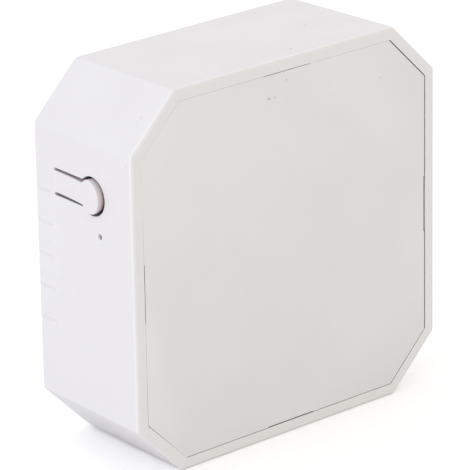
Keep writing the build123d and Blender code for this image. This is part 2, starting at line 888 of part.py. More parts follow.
# Varistor: a coated disc on two leads
with BuildPart() as varistor:
    with BuildSketch(level(*varistor_place)):
        with Locations((0, varistor_stand + varistor_radius)):
            Circle(varistor_radius)
    extrude(amount=varistor_thickness / 2, both=True)
    chamfer(varistor.edges().filter_by(GeomType.CIRCLE), varistor_bevel)
    with BuildSketch(layer(board_top + varistor_stand + varistor_radius)):
        with Locations(varistor_place):
            with GridLocations(varistor_lead_spacing, varistor_lead_spacing, 2, 1):
                RegularPolygon(lead_radius, lead_sides)
    extrude(amount=varistor_stand + varistor_radius + lead_end)
finish(varistor, "varistor")

# Fusible resistor: lies on the board, wider at its two end caps
with BuildPart() as fusible_resistor:
    resistor_plane = level(*resistor_place)
    resistor_axis_stand = resistor_stand + resistor_radius
    with BuildSketch(resistor_plane):
        with BuildLine():
            Polyline(
                (-resistor_length / 2, resistor_axis_stand),
                (-resistor_length / 2, resistor_axis_stand + resistor_radius),
                (-resistor_length / 2 + resistor_cap, resistor_axis_stand + resistor_radius),
                (-resistor_length / 2 + resistor_cap, resistor_axis_stand + resistor_waist),
                (resistor_length / 2 - resistor_cap, resistor_axis_stand + resistor_waist),
                (resistor_length / 2 - resistor_cap, resistor_axis_stand + resistor_radius),
                (resistor_length / 2, resistor_axis_stand + resistor_radius),
                (resistor_length / 2, resistor_axis_stand),
                close=True,
            )
        make_face()
    revolve(axis=Axis(resistor_plane.from_local_coords((0, resistor_axis_stand, 0)), resistor_plane.x_dir))
    for side in (-1, 1):
        with BuildLine(resistor_plane) as lead_route:
            Polyline(
                (side * (resistor_length / 2 - resistor_cap), resistor_axis_stand),
                (side * resistor_lead_span / 2, resistor_axis_stand),
                (side * resistor_lead_span / 2, -lead_end),
            )
        with BuildSketch(lead_route.line ^ 0):
            RegularPolygon(lead_radius, lead_sides)
        sweep(path=lead_route.line, transition=Transition.RIGHT)
finish(fusible_resistor, "fusible_resistor")

# Inductor: a drum core with its winding between the flanges
with BuildPart() as inductor_core:
    drum = level(*inductor_place)
    with BuildSketch(drum):
        with BuildLine():
            Polyline(
                (0, 0),
                (inductor_radius, 0),
                (inductor_radius, inductor_flange),
                (inductor_waist, inductor_flange),
                (inductor_waist, inductor_height - inductor_flange),
                (inductor_radius, inductor_height - inductor_flange),
                (inductor_radius, inductor_height),
                (0, inductor_height),
                close=True,
            )
        make_face()
    revolve(axis=Axis(drum.origin, drum.y_dir))
    with BuildSketch(layer(board_top)):
        with Locations(inductor_place):
            with GridLocations(inductor_lead_spacing, inductor_lead_spacing, 2, 1):
                RegularPolygon(lead_radius, lead_sides)
    extrude(amount=lead_end)
finish(inductor_core, "inductor_core")

with BuildPart() as inductor_winding:
    with BuildSketch(layer(board_top + inductor_flange + winding_gap)):
        with Locations(inductor_place):
            Circle(winding_radius)
            Circle(inductor_waist + winding_gap, mode=Mode.SUBTRACT)
    extrude(amount=-(inductor_height - 2 * inductor_flange - 2 * winding_gap))
finish(inductor_winding, "inductor_winding")


def flat_package(size, places, legs, leg_spacing, leg_width):
    """Moulded packages with sloping sides, flat on the board, with legs along both long sides."""
    length, breadth, rise = size
    with BuildPart() as package:
        with BuildSketch(layer(board_top)):
            with Locations(*places):
                Rectangle(length, breadth)
        extrude(amount=-rise, taper=package_slope)
        with BuildSketch(layer(board_top)):
            with Locations(*places):
                with GridLocations(leg_spacing, breadth, legs, 2):
                    Rectangle(leg_width, 2 * leg_reach)
        extrude(amount=-leg_thickness)
    return package


# Flat packages of the power supply and the relay drivers
finish(
    flat_package(
        (bridge_length, bridge_breadth, bridge_height),
        [(bridge_across, bridge_rise)],
        bridge_leg_count,
        bridge_leg_spacing,
        bridge_leg_width,
    ),
    "bridge_rectifier",
)
finish(
    flat_package(
        (converter_length, converter_breadth, converter_height),
        [(converter_across, (converter_top + converter_bottom) / 2)],
        converter_leg_count,
        converter_leg_spacing,
        converter_leg_width,
    ),
    "converter_chip",
)
finish(
    flat_package(
        (regulator_length, regulator_breadth, regulator_height),
        [(regulator_across, top_row_rise)],
        regulator_leg_count,
        regulator_leg_spacing,
        regulator_leg_width,
    ),
    "voltage_regulator",
)
finish(
    flat_package(
        (driver_length, driver_breadth, driver_height),
        [(across, top_row_rise) for across in driver_row],
        driver_leg_count,
        driver_leg_spacing,
        driver_leg_width,
    ),
    "relay_drivers",
)

# Input resistors: a column of chips between the switch and the output capacitor
with BuildPart() as input_resistors:
    with BuildSketch(layer(board_top)):
        with Locations((chip_resistor_across, chip_resistor_top - chip_resistor_column / 2)):
            with GridLocations(chip_resistor_spacing, chip_resistor_spacing, 1, chip_resistor_count):
                Rectangle(chip_resistor_length, chip_resistor_breadth)
    extrude(amount=-chip_resistor_height)
finish(input_resistors, "input_resistors")
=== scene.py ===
"""Looks of the shutter switch module: finishes, finely modelled pieces, the studio and the camera.

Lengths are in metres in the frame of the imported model: the cover faces -Y, the button wall -X, up is +Z.
"""

import logging
import math
from collections.abc import Callable, Iterable, Sequence
from dataclasses import dataclass, field
from enum import Enum
from itertools import product

import bmesh
import bpy
from mathutils import Matrix, Vector


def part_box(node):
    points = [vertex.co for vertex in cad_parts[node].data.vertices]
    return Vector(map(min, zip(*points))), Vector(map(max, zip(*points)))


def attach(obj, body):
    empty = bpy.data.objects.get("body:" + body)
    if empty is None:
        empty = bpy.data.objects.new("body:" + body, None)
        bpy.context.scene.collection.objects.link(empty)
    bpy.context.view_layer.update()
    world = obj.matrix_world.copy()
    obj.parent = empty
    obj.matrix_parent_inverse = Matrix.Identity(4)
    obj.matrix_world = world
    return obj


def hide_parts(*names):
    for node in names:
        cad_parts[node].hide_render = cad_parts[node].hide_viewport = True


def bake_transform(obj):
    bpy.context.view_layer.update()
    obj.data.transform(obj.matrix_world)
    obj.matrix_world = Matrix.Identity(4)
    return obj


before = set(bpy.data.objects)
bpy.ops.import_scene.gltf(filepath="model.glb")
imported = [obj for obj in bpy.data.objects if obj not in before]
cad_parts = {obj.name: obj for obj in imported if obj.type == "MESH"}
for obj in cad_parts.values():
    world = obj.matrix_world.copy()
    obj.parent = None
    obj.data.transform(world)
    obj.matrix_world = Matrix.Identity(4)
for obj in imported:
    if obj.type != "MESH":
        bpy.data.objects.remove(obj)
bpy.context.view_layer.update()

LOG = logging.getLogger("shutter_module")
MM = 0.001
WHITE = (1.0, 1.0, 1.0)
# Near-black painted shade, for narrow slots and the shadowed corners of down-facing sides.
PAINTED_SHADE_BLACK = (0.01, 0.01, 0.01)
SQUARE = ((-1, -1), (1, -1), (1, 1), (-1, 1))
ALONG_Y = Matrix.Rotation(-math.pi / 2, 4, "X")
SHARP_EDGE = math.radians(35)
Colour = tuple[float, float, float]
Point = tuple[float, float, float]
Spot = tuple[float, float]
Material = bpy.types.Material
Piece = bpy.types.Object
Group = bpy.types.NodeTree
Node = bpy.types.Node
Socket = bpy.types.NodeSocket
Sockets = bpy.types.bpy_prop_collection
Number = float | Socket
Paint = Colour | Socket
Row = list[bmesh.types.BMVert]


# Sizes that several pieces share


@dataclass(frozen=True)
class ModuleSize:
    """Main sizes of the housing, with its cut corners, leaning walls and the rim round the cover."""

    width: float = 46 * MM
    height: float = 46 * MM
    depth: float = 18 * MM
    corner: float = 6.45 * MM
    draft: float = math.radians(1.27)
    rim: float = 1.45 * MM
    cover_thickness: float = 1.5 * MM
    wall: float = 2.0 * MM

    def reach(self, turn: int) -> float:
        """Measures how far an outer face lies from the middle of the front.

        Args:
            turn: Direction of the face in degrees, from the right wall up.

        Returns:
            The distance in metres.
        """
        if turn % 180 == 0:
            return self.width / 2
        if turn % 90 == 0:
            return self.height / 2
        return (self.width / 2 + self.height / 2 - self.corner) / math.sqrt(2)

    def front_point(self, across: float, rise: float, behind: float = 0.0) -> Vector:
        """Places a point to the right, above and behind the middle of the front face."""
        return Vector((across, behind - self.depth / 2, self.height / 2 + rise))

    def left_wall(self) -> Matrix:
        """Works out where the outer face of the left wall stands.

        Returns:
            Its placement: x to the rear, y up, z out of the wall.
        """
        rear = Vector((math.sin(self.draft), math.cos(self.draft), 0))
        out = Vector((-math.cos(self.draft), math.sin(self.draft), 0))
        turn = Matrix((rear, Vector((0, 0, 1)), out)).transposed().to_4x4()
        return Matrix.Translation(self.front_point(-self.width / 2, 0)) @ turn


SIZE = ModuleSize()


# Node trees


class NodeTree:
    """Adds nodes to one node tree, sets their sockets and links them."""

    def __init__(self, tree: Group) -> None:
        """Keeps the tree that the nodes go into."""
        self.tree = tree

    def add(self, kind: str, inputs: dict | None = None, **settings: object) -> Node:
        """Adds a node.

        Args:
            kind: Type of the node.
            inputs: Values or output sockets, by the name or number of the input.
            settings: Properties of the node.

        Returns:
            The node.
        """
        node = self.tree.nodes.new(kind)
        for name, value in settings.items():
            setattr(node, name, value)
        self.feed(node, inputs or {})
        return node

    def feed(self, node: Node, inputs: dict) -> None:
        """Links output sockets to a node's inputs, or sets the inputs to plain values.

        Args:
            node: The node.
            inputs: Values or output sockets, by the name or number of the input.
        """
        for name, value in inputs.items():
            socket = node.inputs[name]
            if isinstance(value, Socket):
                self.tree.links.new(value, socket)
            elif socket.type == "RGBA":
                socket.default_value = (*value, 1.0)
            else:
                socket.default_value = value

    def maths(self, operation: str, *values: Number) -> Socket:
        """Adds a math node and gives its result."""
        return self.add("ShaderNodeMath", dict(enumerate(values)), operation=operation).outputs[0]

    def times(self, first: Number, second: Number) -> Socket:
        """Multiplies two numbers."""
        return self.maths("MULTIPLY", first, second)

    def vectors(self, operation: str, *values: Socket | Point) -> Sockets:
        """Adds a vector math node and gives its outputs."""
        return self.add("ShaderNodeVectorMath", dict(enumerate(values)), operation=operation).outputs

    def ramp(self, value: Socket, low: Number, high: Number, start: float = 0.0, end: float = 1.0) -> Socket:
        """Steps smoothly from a start to an end, while a value goes from low to high."""
        inputs = {"Value": value, "From Min": low, "From Max": high, "To Min": start, "To Max": end}
        return self.add("ShaderNodeMapRange", inputs, interpolation_type="SMOOTHSTEP").outputs["Result"]

    def tint(self, share: Number, first: Paint, second: Paint, mode: str = "MIX") -> Socket:
        """Mixes two colours, with a share of the second one between 0 and 1."""
        inputs = {0: share, 6: first, 7: second}
        return self.add("ShaderNodeMix", inputs, data_type="RGBA", blend_type=mode).outputs[2]

    def place(self) -> Socket:
        """Gives the position in the object's own frame."""
        return self.add("ShaderNodeTexCoord").outputs["Object"]

    def facing(self) -> Sockets:
        """Gives the X, Y and Z of the surface's direction."""
        normal = self.add("ShaderNodeNewGeometry").outputs["Normal"]
        return self.add("ShaderNodeSeparateXYZ", {"Vector": normal}).outputs

    def scale(self, size: Number) -> Number:
        """Works out a pattern's scale from the size of its features in metres."""
        return self.maths("DIVIDE", 1.0, size) if isinstance(size, Socket) else 1 / size

    def noise(self, place: Socket, size: Number, detail: float) -> Socket:
        """Adds a noise with features of a size and a number of finer layers."""
        inputs = {"Vector": place, "Scale": self.scale(size), "Detail": detail}
        return self.add("ShaderNodeTexNoise", inputs).outputs["Fac"]

    def cells(self, place: Socket, size: Number, **settings: str) -> Sockets:
        """Adds a pattern with cells of a size, measured as the settings say."""
        inputs = {"Vector": place, "Scale": self.scale(size)}
        return self.add("ShaderNodeTexVoronoi", inputs, **settings).outputs

    def bump(self, shader: Node, height: Socket, depth: float, strength: float = 1.0) -> None:
        """Gives a shader a bumpy surface with bumps of a depth in metres."""
        bump = self.add("ShaderNodeBump", {"Height": height, "Distance": depth, "Strength": strength})
        self.feed(shader, {"Normal": bump.outputs["Normal"]})


# Shared effects


class Effect(Enum):
    """Shader node groups that several materials use."""

    EDGE_WEAR = "edge_wear"
    MOULD_GRAIN = "mould_grain"
    SPECKS = "specks"
    DRAWN_LINES = "drawn_lines"
    CREVICE = "crevice"


@dataclass
class EffectShelf:
    """Builds each shared node group once and hands it out."""

    groups: dict[Effect, Group] = field(default_factory=dict)

    def place(self, tree: NodeTree, effect: Effect, inputs: dict[str, float]) -> Sockets:
        """Places a shared group in a material.

        Args:
            tree: The material's node tree.
            effect: Which group.
            inputs: Its values.

        Returns:
            The group's outputs.
        """
        makers: dict[Effect, Callable[[], Group]] = {
            Effect.EDGE_WEAR: self.edge_wear,
            Effect.MOULD_GRAIN: self.mould_grain,
            Effect.SPECKS: self.specks,
            Effect.DRAWN_LINES: self.drawn_lines,
            Effect.CREVICE: self.crevice,
        }
        if effect not in self.groups:
            self.groups[effect] = makers[effect]()
        return tree.add("ShaderNodeGroup", inputs, node_tree=self.groups[effect]).outputs

    def empty_group(
        self, effect: Effect, inputs: dict[str, float], *outputs: str
    ) -> tuple[NodeTree, Sockets, Node]:
        """Makes a group with its sockets.

        Args:
            effect: Which group.
            inputs: Default values of its number inputs.
            outputs: Names of its number outputs.

        Returns:
            The tree, the inputs as sockets to link from, and the output node.
        """
        group = bpy.data.node_groups.new(effect.value, "ShaderNodeTree")
        for name, value in inputs.items():
            made = group.interface.new_socket(name, in_out="INPUT", socket_type="NodeSocketFloat")
            made.default_value = value
        for name in outputs:
            group.interface.new_socket(name, in_out="OUTPUT", socket_type="NodeSocketFloat")
        tree = NodeTree(group)
        return tree, tree.add("NodeGroupInput").outputs, tree.add("NodeGroupOutput")

    def edge_wear(self) -> Group:
        """Masks the edges, broken up by a noise, where they lighten with wear and with a painted highlight.

        Returns:
            The group.
        """
        tree, given, out = self.empty_group(Effect.EDGE_WEAR, {"Radius": 0.2 * MM, "Patch": 2 * MM}, "Mask")
        rounded = tree.add("ShaderNodeBevel", {"Radius": given["Radius"]}, samples=6).outputs["Normal"]
        normal = tree.add("ShaderNodeNewGeometry").outputs["Normal"]
        edge = tree.ramp(tree.vectors("DOT_PRODUCT", rounded, normal)["Value"], 0.995, 0.86)
        patchy = tree.ramp(tree.noise(tree.place(), given["Patch"], 3.0), 0.35, 0.62, 0.45, 1.0)
        tree.feed(out, {"Mask": tree.times(edge, patchy)})
        return tree.tree

    def mould_grain(self) -> Group:
        """Draws the fine grain of a spark-eroded mould and a slow drift in tone.

        Returns:
            The group.
        """
        sizes = {"Grain": 0.15 * MM, "Drift": 9 * MM}
        tree, given, out = self.empty_group(Effect.MOULD_GRAIN, sizes, "Height", "Tone")
        place = tree.place()
        pits = tree.times(tree.cells(place, given["Grain"], feature="SMOOTH_F1")["Distance"], 0.6)
        height = tree.maths("ADD", tree.noise(place, given["Grain"], 3.0), pits)
        drift = tree.noise(place, given["Drift"], 4.0)
        tree.feed(out, {"Height": height, "Tone": tree.ramp(drift, 0.3, 0.7)})
        return tree.tree

    def specks(self) -> Group:
        """Masks few small specks of dust, each of its own size.

        Returns:
            The group.
        """
        tree, given, out = self.empty_group(Effect.SPECKS, {"Spacing": 3 * MM, "Share": 0.2}, "Mask")
        cells = tree.cells(tree.place(), given["Spacing"])
        lot = tree.add("ShaderNodeSeparateColor", {"Color": cells["Color"]}).outputs
        kept = tree.maths("LESS_THAN", lot["Red"], given["Share"])
        reach = tree.maths("MULTIPLY_ADD", lot["Green"], 0.03, 0.012)
        dot = tree.maths("LESS_THAN", cells["Distance"], reach)
        tree.feed(out, {"Mask": tree.times(kept, dot)})
        return tree.tree

    def drawn_lines(self) -> Group:
        """Draws fine lines along Z, as drawn or rolled metal has.

        Returns:
            The group.
        """
        sizes = {"Width": 0.06 * MM, "Stretch": 30.0}
        tree, given, out = self.empty_group(Effect.DRAWN_LINES, sizes, "Height", "Tone")
        squeeze = tree.add("ShaderNodeCombineXYZ", {"X": 1.0, "Y": 1.0})
        tree.feed(squeeze, {"Z": tree.maths("DIVIDE", 1.0, given["Stretch"])})
        place = tree.vectors("MULTIPLY", tree.place(), squeeze.outputs["Vector"])["Vector"]
        lines = tree.noise(place, given["Width"], 4.0)
        tree.feed(out, {"Height": lines, "Tone": tree.ramp(lines, 0.35, 0.65)})
        return tree.tree

    def crevice(self) -> Group:
        """Masks the corners, which darken with dust and painted shade, and the slots that light hardly
        reaches, which take painted shade.

        Both leave out the foot of the module, where the floor would count as a corner.

        Returns:
            The group.
        """
        values = {"Reach": 0.6 * MM, "Foot": 0.8 * MM, "Open": 0.42}
        tree, given, out = self.empty_group(Effect.CREVICE, values, "Corner", "Slot")
        sky = tree.add("ShaderNodeAmbientOcclusion", {"Distance": given["Reach"]}, samples=8).outputs["AO"]
        rise = tree.add("ShaderNodeSeparateXYZ", {"Vector": tree.place()}).outputs["Z"]
        clear = tree.ramp(rise, 0.0, given["Foot"])
        corner = tree.times(clear, tree.ramp(sky, 0.80, 0.30))
        slot = tree.times(clear, tree.ramp(sky, given["Open"], 0.12))
        tree.feed(out, {"Corner": corner, "Slot": slot})
        return tree.tree


EFFECTS = EffectShelf()


# Finishes


def new_material(name: str) -> tuple[Material, NodeTree, Node]:
    """Makes a material with its shader and output.

    Args:
        name: Name of the material.

    Returns:
        The material, its tree and its Principled node.
    """
    material = bpy.data.materials.new(name)
    material.use_nodes = True
    material.node_tree.nodes.clear()
    tree = NodeTree(material.node_tree)
    shader = tree.add("ShaderNodeBsdfPrincipled")
    tree.add("ShaderNodeOutputMaterial", {"Surface": shader.outputs["BSDF"]})
    return material, tree, shader


@dataclass(frozen=True)
class Speck:
    """A small grey mark on the surface, measured in mm.

    Attributes:
        across, rise, behind: Place to the right of the middle, above it and behind the front.
        reach: Its half width.
        stretch: How much longer than wide it is.
        shade: How dark it is.
    """

    across: float
    rise: float
    reach: float
    stretch: float = 1.2
    behind: float = 0.0
    shade: float = 1.0


@dataclass(frozen=True)
class MouldedPlastic:
    """Moulded plastic with the mould's grain, a drift in tone, edges lightened by wear and a painted
    highlight, and dust and painted shade in its corners and slots.

    Attributes:
        drift_colour: Colour that the main one drifts to.
        grain, grain_depth: Size and depth of the mould's grain in metres.
        edge_reach: How far from an edge its wear and painted highlight reach, in metres.
        wear, round_highlight: How much the edges lighten with wear and a painted highlight, and how much
            painted highlight the rounded edges of front and rear take.
        dust, slot_shade: How much the corners darken with dust and painted shade, and how dark the painted
            shade in the narrow slots is.
        side_shade: How much painted shade lies on the sides that don't face the left, where the main light
            comes from.
        underside_shade: How much more painted shade lies on the sides that face down than on those that face
            up.
        under_shade: How dark the near-black painted shadow is in the corners of the sides that face down.
        corner_reach: How far round a corner its dust and painted shade reach, in metres.
        slot_start: Share of open sky below which a place counts as a slot.
        dot_share, dot_shade: How many dots of dust there are, and how dark they are.
        specks, speck_shade: Marks at chosen places, and how dark they are.
    """

    name: str
    colour: Colour
    drift_colour: Colour
    edge_colour: Colour
    dust_and_shade_colour: Colour = (0.35, 0.32, 0.30)
    roughness: float = 0.42
    grain: float = 0.14 * MM
    grain_depth: float = 0.004 * MM
    edge_reach: float = 0.15 * MM
    wear: float = 0.5
    round_highlight: float = 0.0
    dust: float = 0.15
    side_shade: float = 0.0
    underside_shade: float = 0.0
    under_shade: float = 0.0
    corner_reach: float = 0.5 * MM
    slot_shade: float = 0.3
    slot_start: float = 0.42
    dot_share: float = 0.12
    dot_shade: float = 0.25
    specks: tuple[Speck, ...] = ()
    speck_shade: float = 0.55

    def build(self) -> Material:
        """Builds the material.

        Returns:
            The material.
        """
        material, tree, shader = new_material(self.name)
        grain = EFFECTS.place(tree, Effect.MOULD_GRAIN, {"Grain": self.grain})
        edge = EFFECTS.place(tree, Effect.EDGE_WEAR, {"Radius": self.edge_reach})["Mask"]
        crevice = EFFECTS.place(tree, Effect.CREVICE, {"Reach": self.corner_reach, "Open": self.slot_start})
        dust = EFFECTS.place(tree, Effect.SPECKS, {"Share": self.dot_share})["Mask"]
        facing = tree.facing()
        ahead = tree.maths("ABSOLUTE", facing["Y"])
        # Rounded edges of front and rear, which take a painted highlight.
        turned = tree.times(tree.ramp(ahead, 0.04, 0.14), tree.ramp(ahead, 0.60, 0.30))
        # Painted shade on the sides turned away from the left, where the main light comes from.
        aside = tree.ramp(facing["X"], -0.8, -0.35)
        # Painted shade grows on sides that face down and lessens on sides that face up.
        downward_shade = tree.maths("MULTIPLY_ADD", facing["Z"], -self.underside_shade, 1.0)
        below = tree.ramp(facing["Z"], -0.55, -0.75)
        layers = [
            # Edges lighten towards the edge colour: wear, and on the white plastics a painted highlight.
            (edge, self.wear, self.edge_colour),
            (turned, self.round_highlight, self.edge_colour),
            (aside, self.side_shade, self.dust_and_shade_colour),
            # Corners darken towards the dust colour: dust and painted shade.
            (tree.times(crevice["Corner"], downward_shade), self.dust, self.dust_and_shade_colour),
            # Near-black painted shadow in the corners of sides that face down.
            (tree.times(crevice["Corner"], below), self.under_shade, PAINTED_SHADE_BLACK),
            # Painted near-black shade in the narrow slots that light hardly reaches.
            (tree.times(crevice["Slot"], downward_shade), self.slot_shade, PAINTED_SHADE_BLACK),
            (dust, self.dot_shade, self.dust_and_shade_colour),
        ]
        if self.specks:
            layers.append((self.marks(tree), self.speck_shade, self.dust_and_shade_colour))
        colour = tree.tint(grain["Tone"], self.colour, self.drift_colour)
        for mask, strength, over in layers:
            colour = tree.tint(tree.times(mask, strength), colour, over)
        gloss = tree.ramp(grain["Tone"], 0.0, 1.0, self.roughness - 0.04, self.roughness + 0.04)
        gloss = tree.maths("ADD", gloss, tree.times(edge, -0.1))
        tree.feed(shader, {"Base Color": colour, "Roughness": gloss})
        tree.bump(shader, grain["Height"], self.grain_depth)
        return material

    def marks(self, tree: NodeTree) -> Socket:
        """Masks the marks.

        Args:
            tree: The material's node tree.

        Returns:
            The mask.
        """
        place = tree.place()
        ragged = tree.maths("SUBTRACT", tree.noise(place, 0.25 * MM, 3.0), 0.5)
        mask: Number = 0.0
        for speck in self.specks:
            reach = speck.reach * MM
            middle = SIZE.front_point(speck.across * MM, speck.rise * MM, speck.behind * MM)
            away = tree.vectors("SUBTRACT", place, tuple(middle))["Vector"]
            away = tree.vectors("MULTIPLY", away, (1.0 / speck.stretch, 1.0, 1.0))["Vector"]
            length = tree.maths("MULTIPLY_ADD", ragged, reach, tree.vectors("LENGTH", away)["Value"])
            dot = tree.times(tree.ramp(length, reach, 0.4 * reach), speck.shade)
            mask = tree.maths("MAXIMUM", mask, dot)
        return mask


@dataclass(frozen=True)
class PlatedMetal:
    """Drawn or rolled metal with a plated surface.

    Attributes:
        worn_colour: Colour where it is rubbed.
        line_width, line_depth: Width and depth of the drawn lines in metres.
        streaks, wear, grime_and_shade: How much the lines, the worn edges and the corners show, with the
            corners darkening with grime and painted shade.
    """

    name: str
    colour: Colour
    worn_colour: Colour
    roughness: float
    line_width: float = 0.06 * MM
    line_depth: float = 0.002 * MM
    streaks: float = 0.35
    wear: float = 0.6
    grime_and_shade: float = 0.4
    grime_and_shade_colour: Colour = (0.08, 0.07, 0.06)

    def build(self) -> Material:
        """Builds the material.

        Returns:
            The material.
        """
        material, tree, shader = new_material(self.name)
        lines = EFFECTS.place(tree, Effect.DRAWN_LINES, {"Width": self.line_width})
        edge = EFFECTS.place(tree, Effect.EDGE_WEAR, {"Radius": 0.08 * MM, "Patch": 0.8 * MM})["Mask"]
        corner = EFFECTS.place(tree, Effect.CREVICE, {"Reach": 0.4 * MM})["Corner"]
        colour: Paint = self.colour
        for mask, strength, over in (
            (lines["Tone"], self.streaks, self.worn_colour),
            (edge, self.wear, self.worn_colour),
            # Corners darken towards the grime colour: grime and painted shade.
            (corner, self.grime_and_shade, self.grime_and_shade_colour),
        ):
            colour = tree.tint(tree.times(mask, strength), colour, over)
        gloss = tree.ramp(lines["Tone"], 0.0, 1.0, self.roughness - 0.06, self.roughness + 0.08)
        tree.feed(shader, {"Base Color": colour, "Metallic": 1.0, "Roughness": gloss})
        tree.bump(shader, lines["Height"], self.line_depth)
        return material


@dataclass(frozen=True)
class SolderMask:
    """Lacquered circuit board with copper runs under the lacquer.

    Attributes:
        lacquer, over_copper, core: Colours over bare board, over copper and of the cut edge.
        run_size: Size of the copper areas in metres.
    """

    name: str
    lacquer: Colour
    over_copper: Colour
    core: Colour
    run_size: float = 3.4 * MM

    def build(self) -> Material:
        """Builds the material.

        Returns:
            The material.
        """
        material, tree, shader = new_material(self.name)
        place = tree.place()
        far, near = (
            tree.cells(place, self.run_size, distance="CHEBYCHEV", feature=feature)["Distance"]
            for feature in ("F2", "F1")
        )
        copper = tree.ramp(tree.maths("SUBTRACT", far, near), 0.06, 0.12)
        weave = tree.ramp(tree.noise(place, 0.2 * MM, 2.0), 0.3, 0.7, 0.8, 1.1)
        grey = tree.add("ShaderNodeCombineXYZ", {0: weave, 1: weave, 2: weave}).outputs[0]
        cut = tree.tint(1.0, self.core, grey, "MULTIPLY")
        flat = tree.ramp(tree.maths("ABSOLUTE", tree.facing()["Y"]), 0.5, 0.8)
        colour = tree.tint(flat, cut, tree.tint(copper, self.lacquer, self.over_copper))
        gloss = tree.ramp(tree.noise(place, 1.2 * MM, 4.0), 0.3, 0.7, 0.22, 0.34)
        tree.feed(shader, {"Base Color": colour, "Roughness": gloss})
        tree.feed(shader, {"Coat Weight": 0.4, "Coat Roughness": 0.12})
        tree.bump(shader, copper, 0.03 * MM, 0.8)
        return material


@dataclass(frozen=True)
class ClearResin:
    """Slightly cloudy cast resin of a small light, with a tint of its own where it is cloudy."""

    name: str
    colour: Colour
    cloud_colour: Colour

    def build(self) -> Material:
        """Builds the material.

        Returns:
            The material.
        """
        material, tree, shader = new_material(self.name)
        place = tree.place()
        cloud = tree.ramp(tree.noise(place, 0.8 * MM, 4.0), 0.3, 0.7)
        colour = tree.tint(cloud, self.colour, self.cloud_colour)
        tree.feed(shader, {"Base Color": colour, "Roughness": tree.ramp(cloud, 0.0, 1.0, 0.08, 0.2)})
        tree.feed(shader, {"Transmission Weight": 0.7, "IOR": 1.5})
        tree.bump(shader, tree.noise(place, 0.3 * MM, 2.0), 0.01 * MM, 0.6)
        return material


